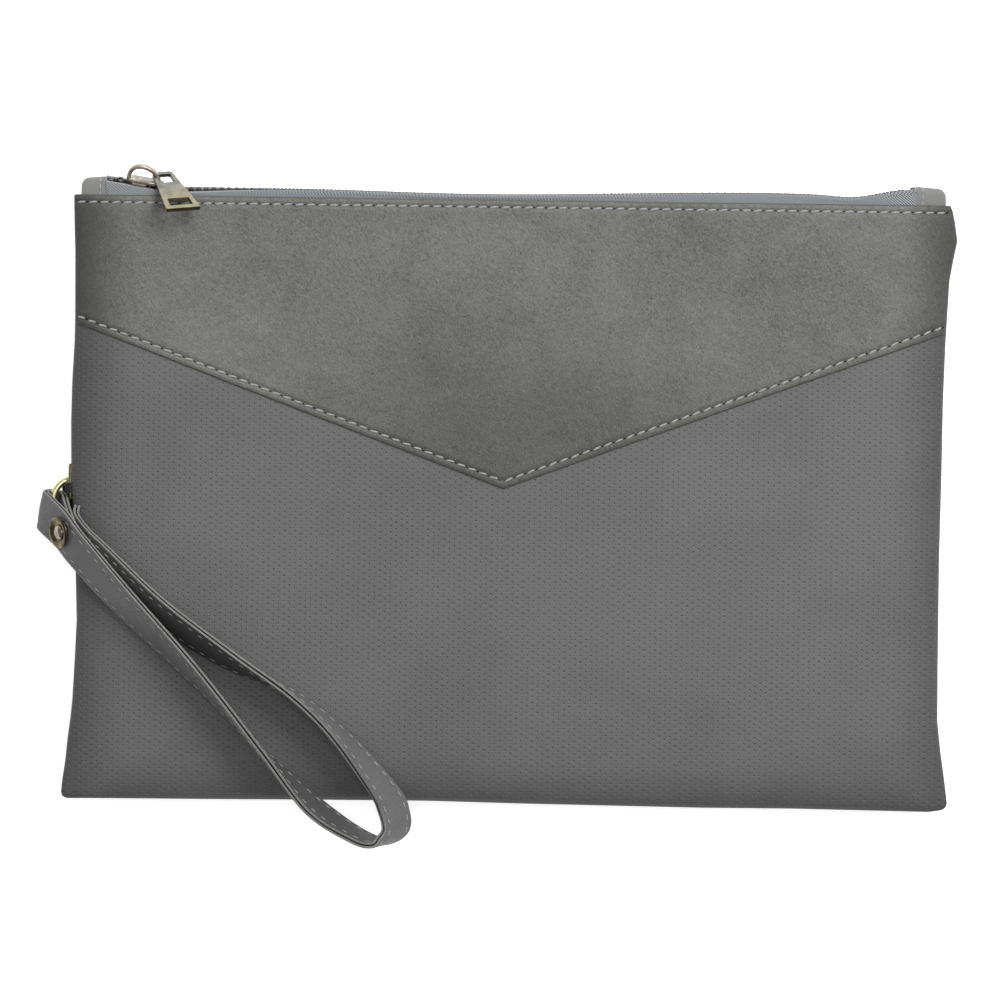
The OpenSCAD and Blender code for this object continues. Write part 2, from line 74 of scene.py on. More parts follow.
look_down_camera()
area_light("key", (0.55, 0.85, 1.1), (0, 0, 0), 1.0, 16.5)
area_light("top", (-0.1, 0.1, 1.8), (0, 0, 0), 0.8, 4)
area_light("glint", (-0.9, 0.7, 0.5), (-0.12, 0, 0), 0.3, 0.6)
scene.view_settings.view_transform = "Standard"


# ---- Node helpers ----

class Nodes:
    """Short hand for building one material's node tree."""

    def __init__(self, name):
        self.mat = bpy.data.materials.new(name)
        self.mat.use_nodes = True
        self.tree = self.mat.node_tree
        self.bsdf = self.tree.nodes["Principled BSDF"]

    def add(self, kind, inputs=(), **props):
        node = self.tree.nodes.new(kind)
        for key, value in props.items():
            setattr(node, key, value)
        for key, value in dict(inputs).items():
            if isinstance(value, bpy.types.NodeSocket):
                self.tree.links.new(value, node.inputs[key])
            else:
                node.inputs[key].default_value = value
        return node

    def math(self, op, a, b=0.0, c=0.0):
        return self.add("ShaderNodeMath", {0: a, 1: b, 2: c}, operation=op).outputs[0]

    def vec(self, op, a, b=(0, 0, 0)):
        node = self.add("ShaderNodeVectorMath", {0: a, 1: b}, operation=op)
        return node.outputs["Value" if op in ("LENGTH", "DISTANCE") else "Vector"]

    def place(self, uv=False):
        node = self.add("ShaderNodeTexCoord")
        return node.outputs["UV" if uv else "Object"]

    def noise(self, at, scale, detail=3.0, rough=0.55, distort=0.0):
        return self.add("ShaderNodeTexNoise", {"Vector": at, "Scale": scale, "Detail": detail,
                                               "Roughness": rough, "Distortion": distort}).outputs["Fac"]

    def ramp(self, value, low, high, to_low=0.0, to_high=1.0, smooth=True):
        kind = "SMOOTHSTEP" if smooth else "LINEAR"
        return self.add("ShaderNodeMapRange", {0: value, 1: low, 2: high, 3: to_low, 4: to_high},
                        interpolation_type=kind).outputs[0]

    def mix(self, factor, a, b):
        node = self.add("ShaderNodeMix", {0: factor}, data_type="RGBA")
        for socket, value in ((node.inputs[6], a), (node.inputs[7], b)):
            if isinstance(value, bpy.types.NodeSocket):
                self.tree.links.new(value, socket)
            else:
                socket.default_value = (*value, 1)
        return node.outputs[2]

    def bump(self, height, distance, strength=1.0, base=None):
        inputs = {"Height": height, "Distance": distance, "Strength": strength}
        if base is not None:
            inputs["Normal"] = base
        return self.add("ShaderNodeBump", inputs).outputs["Normal"]

    def finish(self, color=None, rough=None, normal=None, **constants):
        for key, value in (("Base Color", color), ("Roughness", rough), ("Normal", normal)):
            if value is None:
                continue
            if isinstance(value, bpy.types.NodeSocket):
                self.tree.links.new(value, self.bsdf.inputs[key])
            else:
                self.bsdf.inputs[key].default_value = (*value, 1) if key == "Base Color" else value
        for key, value in constants.items():
            self.bsdf.inputs[key.replace("_", " ")].default_value = value
        return self.mat


def grey(base, tint=(1, 1, 1)):
    """Linear colour of an sRGB grey from 0 to 255."""
    value = base / 255
    linear = value / 12.92 if value < 0.04045 else ((value + 0.055) / 1.055) ** 2.4
    return tuple(linear * t for t in tint)


# ---- Materials ----

DIMPLE_X, DIMPLE_Y = 0.0035, 0.0021


def dimples(n, at, shift=(0, 0), low=0.1, high=0.36):
    """Staggered rows of small dimples; at and shift are in metres. Returns 0 in a dimple, 1 between."""
    cells = []
    for half in (0, 0.5):
        moved = (half + shift[0] / DIMPLE_X, half + shift[1] / DIMPLE_Y, 0)
        scaled = n.vec("ADD", n.vec("MULTIPLY", at, (1 / DIMPLE_X, 1 / DIMPLE_Y, 0)), moved)
        near = n.vec("SUBTRACT", n.vec("FRACTION", scaled), (0.5, 0.5, 0))
        cells.append(n.vec("LENGTH", n.vec("MULTIPLY", near, (DIMPLE_X / MM, DIMPLE_Y / MM, 0))))
    return n.ramp(n.math("MINIMUM", cells[0], cells[1]), low, high)


def painted_edge_shade(n, depth):
    """Share of painted shade by place: 0 in the middle of the bag, rising to depth at its sides and bottom,
    where the surface turns away from the light.
    """
    split = n.add("ShaderNodeSeparateXYZ", {0: n.place()})
    left = n.ramp(n.math("MULTIPLY", split.outputs[0], -1), 0.122, 0.1455)
    right = n.ramp(split.outputs[0], 0.126, 0.1475)
    low = n.ramp(n.math("MULTIPLY", split.outputs[1], -1), 0.084, 0.1005, 0, 0.7)
    side = n.math("MAXIMUM", n.math("MAXIMUM", left, n.math("MULTIPLY", right, 0.9)), low)
    return n.math("MULTIPLY", side, depth)


def dimpled_leather(name, base, uv, strength=1.0, edges=0.0):
    n = Nodes(name)
    at = n.place(uv)
    pattern = dimples(n, at)
    cloud = n.noise(n.place(), 28, 3, 0.5)
    grain = n.noise(n.place(), 3200, 2, 0.6)
    tone = n.mix(n.ramp(cloud, 0.3, 0.7), grey(base - 4, (1, 1.003, 1.0)), grey(base + 4, (1, 1.003, 1.002)))
    # Painted shade towards the bag's sides and bottom, as deep as edges sets.
    if edges:
        tone = n.mix(painted_edge_shade(n, edges), tone, grey(base * 0.42))
    # Painted highlight: a paler spot beside each dimple, on the wall that faces the light.
    dimple_highlight = dimples(n, at, (0.00022, 0.0004), 0.05, 0.4)
    tone = n.mix(n.ramp(dimple_highlight, 0, 1, 0.13 * strength, 0), tone, grey(base * 1.6))
    # Painted shade: darker inside each dimple.
    dark = n.mix(n.ramp(pattern, 0, 1, 0.16 * strength, 0), tone, grey(base * 0.5))
    normal = n.bump(pattern, 0.0002, strength)
    normal = n.bump(grain, 0.00004, 0.5, normal)
    rough = n.ramp(cloud, 0.3, 0.7, 0.5, 0.6)
    return n.finish(dark, rough, normal, Specular_IOR_Level=0.35)


def nubuck(name, base):
    """Brushed leather: a short diagonal nap over slow changes of tone, with painted shade at the bag's edges
    and darker near the V tip.
    """
    n = Nodes(name)
    at = n.place()
    split = n.add("ShaderNodeSeparateXYZ", {0: at})
    x, y = split.outputs[0], split.outputs[1]
    across = n.math("ADD", n.math("MULTIPLY", x, 0.8), n.math("MULTIPLY", y, 0.6))
    along = n.math("SUBTRACT", n.math("MULTIPLY", y, 0.8), n.math("MULTIPLY", x, 0.6))
    brushed = n.add("ShaderNodeCombineXYZ", {0: across, 1: n.math("MULTIPLY", along, 0.45)}).outputs[0]
    broad = n.noise(at, 16, 2, 0.5, 0.4)
    patch = n.noise(at, 75, 3, 0.55, 0.5)
    nap = n.noise(brushed, 1500, 3, 0.65, 1.6)
    fine = n.noise(at, 2600, 2, 0.6)
    tone = n.math("ADD", n.math("MULTIPLY", broad, 0.16), n.math("MULTIPLY", patch, 0.14))
    tone = n.math("ADD", tone, n.math("MULTIPLY", nap, 0.45))
    tone = n.math("ADD", tone, n.math("MULTIPLY", fine, 0.25))
    color = n.mix(n.ramp(tone, 0.36, 0.64, smooth=False), grey(base - 32, (1, 1.005, 0.93)),
                  grey(base + 28, (1, 1.005, 0.94)))
    from_tip = n.vec("MULTIPLY", n.vec("SUBTRACT", at, (0, 0.012, 0)), (0.75, 1, 0))
    tip = n.ramp(n.vec("LENGTH", from_tip), 0.01, 0.075, 0.34, 0)
    # Painted shade at the bag's sides and bottom, with a darker patch near the V tip.
    color = n.mix(n.math("MAXIMUM", painted_edge_shade(n, 0.8), tip), color, grey(base * 0.5, (1, 1.0, 0.95)))
    normal = n.bump(nap, 0.0002, 0.6)
    normal = n.bump(fine, 0.00007, 0.6, normal)
    return n.finish(color, n.ramp(patch, 0.3, 0.7, 0.72, 0.88), normal, Specular_IOR_Level=0.2,
                    Sheen_Weight=0.2, Sheen_Roughness=0.5)


def plain_leather(name, base, tint=(1, 1, 1)):
    n = Nodes(name)
    at = n.place()
    cloud = n.noise(at, 60, 3)
    pebble = n.add("ShaderNodeTexVoronoi", {"Vector": at, "Scale": 1300,
                                            "Randomness": 1.0}).outputs["Distance"]
    tone = n.mix(n.ramp(cloud, 0.3, 0.7), grey(base - 6, tint), grey(base + 6, tint))
    normal = n.bump(pebble, 0.00008, 0.6)
    return n.finish(tone, n.ramp(cloud, 0.3, 0.7, 0.5, 0.65), normal, Specular_IOR_Level=0.3)


def raw_edge(name, base, tint):
    n = Nodes(name)
    at = n.place()
    fuzz = n.noise(at, 1800, 4, 0.7)
    tone = n.mix(n.ramp(fuzz, 0.3, 0.7), grey(base - 16, tint), grey(base + 14, tint))
    return n.finish(tone, 0.85, n.bump(fuzz, 0.0001, 0.7), Specular_IOR_Level=0.15)


def herringbone(name, base, tint):
    """Woven tape; the map's first axis runs along the tape and both are in metres."""
    n = Nodes(name)
    uv = n.place(True)
    split = n.add("ShaderNodeSeparateXYZ", {0: uv})
    along, across = split.outputs[0], split.outputs[1]
    fold = n.math("PINGPONG", across, 0.0042)
    phase = n.math("MULTIPLY", n.math("ADD", along, n.math("MULTIPLY", fold, 1.25)), 2 * math.pi / 0.00105)
    rib = n.ramp(n.math("SINE", phase), -1, 1)
    speck = n.noise(n.place(), 2600, 3, 0.7)
    tone = n.math("ADD", n.math("MULTIPLY", rib, 0.6), n.math("MULTIPLY", speck, 0.5))
    color = n.mix(n.ramp(tone, 0.25, 0.85), grey(base - 50, tint), grey(base + 22, tint))
    return n.finish(color, 0.85, n.bump(tone, 0.00016, 0.8), Specular_IOR_Level=0.15, Sheen_Weight=0.3)


def woven(name, base, tint=(1, 1, 1)):
    n = Nodes(name)
    at = n.place()
    split = n.add("ShaderNodeSeparateXYZ", {0: at})
    yarn = 0.0007
    wave_x = n.math("SINE", n.math("MULTIPLY", split.outputs[0], 2 * math.pi / yarn))
    wave_y = n.math("SINE", n.math("MULTIPLY", split.outputs[1], 2 * math.pi / yarn))
    cross = n.ramp(n.math("MULTIPLY", wave_x, wave_y), -1, 1)
    speck = n.noise(at, 1500, 3)
    tone = n.mix(n.math("MULTIPLY", cross, n.ramp(speck, 0.3, 0.7)), grey(base - 12, tint),
                 grey(base + 12, tint))
    return n.finish(tone, 0.9, n.bump(cross, 0.00012, 0.7), Specular_IOR_Level=0.1)


def twisted_thread(name, base, tint):
    n = Nodes(name)
    uv = n.place(True)
    split = n.add("ShaderNodeSeparateXYZ", {0: uv})
    phase = n.math("ADD", n.math("MULTIPLY", split.outputs[0], 2 * math.pi / 0.00045),
                   n.math("MULTIPLY", split.outputs[1], 2 * math.pi))
    ply = n.ramp(n.math("SINE", phase), -1, 1)
    speck = n.noise(n.place(), 900, 2)
    color = n.mix(n.math("MULTIPLY", ply, n.ramp(speck, 0.2, 0.8, 0.6, 1.0)),
                  grey(base - 42, tint), grey(base + 18, tint))
    return n.finish(color, 0.7, n.bump(ply, 0.00006, 0.6), Specular_IOR_Level=0.3, Sheen_Weight=0.2)


def old_metal(name, dark, light, rough=(0.28, 0.5), scale=420, low=0.35, high=0.7):
    """Aged metal: a darker tarnish with paler worn patches and fine scratches."""
    n = Nodes(name)
    at = n.place()
    tarnish = n.noise(at, scale, 4, 0.6, 0.3)
    scratch = n.noise(n.vec("MULTIPLY", at, (1, 9, 3)), 1100, 2, 0.5)
    color = n.mix(n.ramp(tarnish, low, high), dark, light)
    normal = n.bump(scratch, 0.00003, 0.4)
    return n.finish(color, n.ramp(tarnish, 0.3, 0.7, rough[1], rough[0]), normal, Metallic=1.0)


def pull_metal(name):
    """Plated pull: grey at the hooked end, brassy at the free end; the map's second axis runs along it."""
    n = Nodes(name)
    split = n.add("ShaderNodeSeparateXYZ", {0: n.place(True)})
    along = n.ramp(split.outputs[1], 0.006, 0.019)
    tarnish = n.noise(n.place(), 260, 2, 0.5)
    steel = n.mix(n.ramp(tarnish, 0.3, 0.7), (0.16, 0.16, 0.15), (0.27, 0.265, 0.25))
    brass = n.mix(n.ramp(tarnish, 0.3, 0.7), (0.25, 0.225, 0.14), (0.34, 0.305, 0.2))
    brush = n.noise(n.vec("MULTIPLY", n.place(True), (1, 22, 1)), 700, 2)
    # Painted shade: the pull's free end face, turned away from the light, goes near black.
    end = n.ramp(split.outputs[1], 0.02284, 0.02292, 0, 0.75)
    color = n.mix(end, n.mix(along, steel, brass), (0.045, 0.042, 0.035))
    return n.finish(color, n.ramp(brush, 0.3, 0.7, 0.3, 0.46), n.bump(brush, 0.00002, 0.4), Metallic=1.0)


# The last argument sets the painted shade at the bag's sides and bottom.
panel_leather = dimpled_leather("panel_leather", 106, False, 1.0, 0.5)
back_leather = dimpled_leather("back_leather", 110, False)
strap_leather = dimpled_leather("strap_leather", 108, True, 0.6)
strap_inner = dimpled_leather("strap_inner", 90, True, 0.5)
overlay_nubuck = nubuck("overlay_nubuck", 112)
tab_leather = plain_leather("tab_leather", 132, (1, 1.0, 0.98))
# Painted shade: the side tab's near-black leather stands for the shadow it sits in at the bag's edge.
side_tab_painted_shade = plain_leather("side_tab_painted_shade", 36)
cut_edge = raw_edge("cut_edge", 138, (1, 0.985, 0.945))
overlay_edge = raw_edge("overlay_edge", 96, (1, 0.99, 0.93))
# Painted shade: the black layer between the two strap layers stands for the shade in the gap between them.
strap_gap_shade = raw_edge("strap_gap_shade", 42, (1, 1.02, 1.04))
# Painted shade: the dark colour of the needle holes.
hole_painted_shade = raw_edge("hole_painted_shade", 34, (1, 1, 1))
tape_cloth = herringbone("tape_cloth", 158, (0.955, 1.0, 1.045))
lining_cloth = woven("lining_cloth", 60, (1, 1.02, 1.05))
thread_grey = twisted_thread("thread_grey", 184, (0.97, 1.0, 1.02))
teeth_metal = old_metal("teeth_metal", (0.07, 0.07, 0.068), (0.18, 0.17, 0.14), (0.4, 0.6), 700, 0.45, 0.8)
slider_metal = old_metal("slider_metal", (0.2, 0.175, 0.15), (0.5, 0.43, 0.37), (0.22, 0.42), 320)
# The D-ring's dark brass is partly painted shade: it sits in the shadow beside the bag's edge.
loop_metal_painted_shade = old_metal("loop_metal_painted_shade", (0.10, 0.09, 0.035), (0.3, 0.26, 0.12), (0.25, 0.45), 500)
ring_metal = old_metal("ring_metal", (0.66, 0.59, 0.32), (0.92, 0.87, 0.58), (0.24, 0.38), 260)
rivet_metal = old_metal("rivet_metal", (0.05, 0.04, 0.028), (0.22, 0.18, 0.09), (0.2, 0.34), 230)
# Painted highlight: the dome's paler, pinker metal than the rim stands for the reflection of the light on it.
rivet_dome_painted_highlight = old_metal("rivet_dome_painted_highlight", (0.2, 0.155, 0.13), (0.46, 0.37, 0.32), (0.14, 0.24), 260)
plate_metal = pull_metal("plate_metal")


# ---- Mesh helpers; all lengths in millimetres ----

def piece(name, verts, faces, materials, body, replaced=(), indices=None, uvs=None, sharp=50):
    """New object from vertices in millimetres. uvs holds one pair per vertex, in metres."""
    mesh = bpy.data.meshes.new(name)
    mesh.from_pydata((np.asarray(verts, float) * MM).tolist(), [], [tuple(map(int, f)) for f in faces])
    for material in materials:
        mesh.materials.append(material)
    if indices is not None:
        mesh.polygons.foreach_set("material_index", np.asarray(indices, dtype=np.int32))
    if uvs is not None:
        layer = mesh.uv_layers.new(name="map")
        loops = np.empty(len(mesh.loops), dtype=np.int32)
        mesh.loops.foreach_get("vertex_index", loops)
        layer.data.foreach_set("uv", np.asarray(uvs, float)[loops].ravel())
    mesh.validate()
    mesh.polygons.foreach_set("use_smooth", [True] * len(mesh.polygons))
    mesh.set_sharp_from_angle(angle=math.radians(sharp))
    mesh.update()
    obj = bpy.data.objects.new(name, mesh)
    scene.collection.objects.link(obj)
    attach(obj, body)
    if replaced:
        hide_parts(*replaced)
    return obj


def joined(parts):
    """One vertex and face list from many (verts, faces) pairs, with their maps when they have them."""
    verts, faces, extra, start = [], [], [], 0
    for part in parts:
        verts.append(np.asarray(part[0], float))
        faces.extend([tuple(i + start for i in f) for f in part[1]])
        if len(part) > 2:
            extra.append(np.asarray(part[2], float))
        start += len(part[0])
    return np.vstack(verts), faces, np.vstack(extra) if extra else None


def sheet_solid(top, bottom, bulge, rim=5):
    """Closed sheet between two grids of points (n, m, 3) with a rounded rim.
    Returns vertices, faces and each face's kind: 0 on top, 1 on the rim and 2 below."""
    n, m = top.shape[:2]
    ids = np.arange(n * m).reshape(n, m)
    quads = np.stack([ids[:-1, :-1], ids[1:, :-1], ids[1:, 1:], ids[:-1, 1:]], -1).reshape(-1, 4)
    low = quads[:, ::-1] + n * m
    loop = np.concatenate([ids[:, 0], ids[-1, 1:], ids[-2::-1, -1], ids[0, -2:0:-1]])
    inner = ids[np.clip(loop // m, 1, n - 2), np.clip(loop % m, 1, m - 2)]
    flat_top, flat_low = top.reshape(-1, 3), bottom.reshape(-1, 3)
    out = flat_top[loop] - flat_top[inner]
    out /= np.linalg.norm(out, axis=1)[:, None] + 1e-9
    middle, half = (flat_top[loop] + flat_low[loop]) / 2, (flat_top[loop] - flat_low[loop]) / 2
    verts = [flat_top, flat_low]
    rings = [loop]
    start = 2 * n * m
    for k in range(1, rim):
        a = math.pi * k / rim
        verts.append(middle + half * math.cos(a) + out * bulge * math.sin(a))
        rings.append(np.arange(start, start + len(loop)))
        start += len(loop)
    rings.append(loop + n * m)
    faces = [tuple(q) for q in quads] + [tuple(q) for q in low]
    kinds = [0] * len(quads) + [2] * len(low)
    count = len(loop)
    for a, b in zip(rings[:-1], rings[1:]):
        for i in range(count):
            j = (i + 1) % count
            faces.append((a[j], a[i], b[i], b[j]))
            kinds.append(1)
    return np.vstack(verts), faces, kinds


def ring_faces(rings, around, capped=False):
    """Faces between rings of points that follow each other, with flat ends when capped."""
    faces = [tuple(reversed(range(around)))] if capped else []
    for i in range(rings - 1):
        for k in range(around):
            j = (k + 1) % around
            faces.append((i * around + k, i * around + j, (i + 1) * around + j, (i + 1) * around + k))
    if capped:
        faces.append(tuple(range((rings - 1) * around, rings * around)))
    return faces


def capsule(length, radius, flat=0.8, around=8, along=6):
    """Stitch shape along X, lying on Z = 0. Returns vertices, faces and its map."""
    verts, uvs = [], []
    for i in range(along + 1):
        t = -1 + 2 * i / along
        size = max(0.0, 1 - abs(t) ** 2.6) ** 0.5
        for k in range(around):
            a = 2 * math.pi * k / around
            verts.append((t * length / 2, radius * size * math.cos(a), radius * flat * size * math.sin(a)))
            uvs.append((t * length / 2 * MM, k / around))
    return np.array(verts), ring_faces(along + 1, around), np.array(uvs)


def placed(shape, at, x_axis, z_axis, spin=0.0):
    """Shape moved to a point with its X and Z axes turned to the given directions."""
    x = np.asarray(x_axis, float)
    x = x / np.linalg.norm(x)
    z = np.asarray(z_axis, float)
    z = z - x * (z @ x)
    z = z / np.linalg.norm(z)
    y = np.cross(z, x)
    if spin:
        x, y = x * math.cos(spin) + y * math.sin(spin), y * math.cos(spin) - x * math.sin(spin)
    turned = shape[0] @ np.array([x, y, z]) + np.asarray(at, float)
    return (turned, *shape[1:])


def along_line(points, normals, pitch, start=0.0, stop=0.0):
    """Evenly spaced points, directions and normals on a polyline."""
    points, normals = np.asarray(points, float), np.asarray(normals, float)
    lengths = np.concatenate([[0], np.cumsum(np.linalg.norm(np.diff(points, axis=0), axis=1))])
    count = int((lengths[-1] - start - stop) / pitch)
    result = []
    for k in range(count):
        s = start + (k + 0.5) * pitch
        at = np.array([np.interp(s, lengths, points[:, a]) for a in range(3)])
        ahead = np.array([np.interp(s + 0.6, lengths, points[:, a]) for a in range(3)])
        behind = np.array([np.interp(s - 0.6, lengths, points[:, a]) for a in range(3)])
        up = np.array([np.interp(s, lengths, normals[:, a]) for a in range(3)])
        result.append((at, ahead - behind, up))
    return result


def stitch_row(name, places, body, replaced=(), length=2.7, radius=0.27, spin=0.1, lift=0.05, gap=3.8,
               pierced=True):
    """Visible stitches and, where the leather is pierced, dark marks of painted shade for the needle holes
    between them.
    """
    shape = capsule(length, radius)
    hole = capsule(0.95, 0.3, 0.4, 8, 4)
    stitches, holes = [], []
    for k, (at, direction, up) in enumerate(places):
        up = up / np.linalg.norm(up)
        wobble = 0.05 * math.sin(12.9 * k) * (1 if k % 2 else -1)
        stitches.append(placed(shape, at + up * (lift + 0.04 * math.sin(5.1 * k)), direction, up,
                               spin + wobble))
        step = direction / np.linalg.norm(direction)
        holes.append(placed(hole, at + step * gap / 2 - up * 0.02, direction, up, -0.15))
    verts, faces, uvs = joined(stitches)
    piece(name, verts, faces, [thread_grey], body, replaced, uvs=uvs)
    if pierced:
        verts, faces, uvs = joined(holes)
        piece(name + "_holes", verts, faces, [hole_painted_shade], body, uvs=uvs)


# ---- Shape of the bag ----

HALF_H = 99.25
TOP_HALF_W, SEAM_HALF_W = 144.5, 144.3
PANEL_T, LINING_T, LINING_GAP = 1.0, 0.35, 0.45
SEAM_Z, PEAK_Z, LIP_Z, BACK_Z = 10.1, 16.5, 11.0, 8.0
LIP_SHARE = (LIP_Z - SEAM_Z) / (PEAK_Z - SEAM_Z)
# Outline of the bag: X of the left and right edge at Y, and Y of the bottom edge at X
LEFT = np.array([(-99.5, -146.0), (-93.7, -145.5), (-87, -144.6), (-80, -144.0), (-73.5, -143.2),
                 (-67, -142.6),
                 (-54, -142.0), (-41, -141.5), (-20, -142.2), (0, -143.4), (12, -144.0), (25, -144.2),
                 (38, -144.0), (51, -143.4), (58, -143.3), (80, -143.5), (99.5, -144.1)])
RIGHT = np.array([(-100, 146.0), (-90, 144.8), (-80, 143.4), (-70, 142.3), (-50, 142.2), (-17, 142.2),
                  (10, 142.6),
                  (35, 142.8), (55, 143.4), (65, 143.9), (75, 144.4), (82, 145.6), (88, 146.8), (94, 145.9),
                  (97.5, 145.2), (99.5, 144.4)])
BOTTOM = np.array([(-146, -99.2), (-100, -99.1), (-60, -98.8), (-25, -98.7), (5, -99.2), (35, -99.5),
                   (65, -99.8),
                   (95, -99.7), (115, -99.9), (140, -100.1), (146, -99.2)])


def round_off(a, n):
    return np.maximum(0, 1 - np.minimum(1, np.abs(a)) ** n) ** 0.6


def swell(u, v):
    """Gentle unevenness of the soft front, zero at the edges."""
    fade = (1 - u ** 8) * (1 - np.abs(v) ** 8)
    return fade * (0.35 * np.sin(3.1 * u + 1.2) * np.cos(2.6 * v + 0.4) + 0.22 * np.sin(7.3 * u - 2.1 * v)
                   + 0.12 * np.sin(11 * v + 4 * u))


def front_z(u, v):
    side = round_off(u, 6 + 8 * np.maximum(0, v) ** 3)
    up = np.where(v < 0, round_off(v, 6), 1 - (1 - LIP_SHARE) * np.maximum(0, v) ** 3)
    return SEAM_Z + (PEAK_Z - SEAM_Z) * side * up + swell(u, v)


def back_z(u, v):
    up = np.where(v < 0, round_off(v, 10), 1 - (0.4 / BACK_Z) * np.maximum(0, v) ** 6)
    return np.maximum(0, BACK_Z * (1 - 1.004 * round_off(u, 10) * up))


def outline(u, y, inset=0.0):
    """X at share u across the bag at height y."""
    left = np.interp(y, LEFT[:, 0], LEFT[:, 1]) + inset
    right = np.interp(y, RIGHT[:, 0], RIGHT[:, 1]) - inset
    return left + (u + 1) / 2 * (right - left)


def rounded_corners(x, y, radius=2.0):
    """Pulls the two bottom corners of the outline in to a small radius."""
    left, right = outline(-1, y), outline(1, y)
    low = np.interp(x, BOTTOM[:, 0], BOTTOM[:, 1])
    side = np.minimum(x - left, right - x)
    a = np.clip((radius - side) / radius, 0, 1)
    b = np.clip((radius - (y - low)) / radius, 0, 1)
    size = np.sqrt(a * a + b * b)
    scale = np.where(size > 0, np.maximum(a, b) / np.maximum(size, 1e-6), 1)
    toward = np.where(x < 0, 1, -1)
    return x + toward * radius * a * (1 - scale), y + radius * b * (1 - scale)


def bag_grid(surface, us, vs, lift, inset=0.0):
    u, v = np.meshgrid(us, vs, indexing="ij")
    top = HALF_H - inset
    y = v * top
    x = outline(u, y, inset)
    low = np.interp(x, BOTTOM[:, 0], BOTTOM[:, 1]) + inset
    y = np.where(v < 0, -v * low, y)
    x, y = rounded_corners(x, y)
    return np.stack([x, y, surface(u, v) + lift], -1)


def stations(count):
    """Shares from -1 to 1, closer together at both ends."""
    t = np.linspace(-1, 1, count)
    return 0.55 * t + 0.45 * np.sin(t * math.pi / 2)


def flat_map(verts):
    return np.asarray(verts)[:, :2] * MM


def build_panels():
    bulge = 0.45
    top = bag_grid(front_z, stations(171), stations(121), 0)
    verts, faces, kinds = sheet_solid(top, top - [0, 0, PANEL_T], bulge)
    piece("front_panel_skin", verts, faces, [panel_leather, cut_edge], "bag",
          ("front_panel",),
          [0] * len(kinds))
    low = bag_grid(back_z, stations(111), stations(81), 0)
    verts, faces, kinds = sheet_solid(low + [0, 0, PANEL_T], low, bulge)
    piece("back_panel_skin", verts, faces, [back_leather], "bag", ("back_panel",),
          [0] * len(kinds))


def build_linings():
    """The linings stop short of the side seams and of the zip tapes."""
    inset, depth, bulge = 3, PANEL_T + LINING_GAP, 0.15
    us, vs = np.linspace(-0.97, 0.97, 61), np.linspace(-0.97, 0.85, 41)
    upper = bag_grid(front_z, us, vs, -depth, inset)
    verts, faces, _ = sheet_solid(upper, upper - [0, 0, LINING_T], bulge, 3)
    piece("lining_front_cloth", verts, faces, [lining_cloth], "bag", ("lining_front",))
    lower = bag_grid(back_z, us, vs, depth, inset)
    verts, faces, _ = sheet_solid(lower + [0, 0, LINING_T], lower, bulge, 3)
    piece("lining_back_cloth", verts, faces, [lining_cloth], "bag", ("lining_back",))


# ---- Overlay with its V edge ----

TIP_U, TIP_Y, SIDE_Y = -0.007, 4.6, 57.6
LIFT = 0.15
OVERLAY_T = 0.95
TOP_ROW, V_ROW = 2.1, 2.0
TOP_PITCH, V_PITCH = 3.78, 3.85
SLOPE = (SIDE_Y - TIP_Y) / 144
SKEW = math.sqrt(1 + SLOPE ** 2)


def overlay_y(u):
    reach = np.where(u < TIP_U, 1 + TIP_U, 1 - TIP_U)
    return TIP_Y + (SIDE_Y - TIP_Y) * np.abs(u - TIP_U) / reach


def overlay_point(u, y, lift):
    """Point on the overlay. The leather dips along both stitch rows and turns down at its edges."""
    x = outline(u, y)
    edge = (y - overlay_y(u)) / SKEW
    top = HALF_H - y
    dip = 0.6 * np.exp(-((edge - V_ROW) / 0.85) ** 2) + 0.6 * np.exp(-((top - TOP_ROW) / 0.85) ** 2)
    turn = 0.45 * np.exp(-(edge / 0.55) ** 2) + 0.6 * np.exp(-(top / 0.8) ** 2)
    puff = 0.14 * np.exp(-((edge - 3.8) / 1.6) ** 2) + 0.1 * np.exp(-((top - 4.2) / 1.6) ** 2)
    return np.stack([x, y, front_z(u, y / HALF_H) + lift - dip - turn + puff], -1)


def build_overlay():
    us = np.unique(np.concatenate([stations(221), [TIP_U]]))
    near = np.linspace(0, 6, 25)
    u = us[:, None]
    low = overlay_y(u)
    height = HALF_H - low
    rise = near * SKEW
    middle = rise[-1] + (height - rise[-1] - 5) * np.linspace(0, 1, 72)[None, 1:]
    end = (height - 5) + np.linspace(0, 5, 21)[None, 1:]
    y = low + np.concatenate([np.broadcast_to(rise, (len(us), len(rise))), middle, end], axis=1)
    grid_u = np.broadcast_to(u, y.shape)
    top = overlay_point(grid_u, y, LIFT + OVERLAY_T)
    bottom = np.stack([top[..., 0], top[..., 1], front_z(grid_u, y / HALF_H) + LIFT], -1)
    bottom[..., 2] = np.minimum(bottom[..., 2], top[..., 2] - 0.12)
    verts, faces, kinds = sheet_solid(top, bottom, 0.28)
    piece("overlay_leather", verts, faces, [overlay_nubuck, overlay_edge], "bag",
          ("front_overlay",), [1 if k == 1 else 0 for k in kinds])


def row_on_overlay(us, ys, lift):
    points = overlay_point(us, ys, LIFT + OVERLAY_T + lift)
    normals = np.tile([0, 0, 1.0], (len(points), 1))
    tilt = np.gradient(points[:, 2]) / np.maximum(np.gradient(points[:, 0]), 1e-6)
    normals[:, 0] = -tilt
    return points, normals


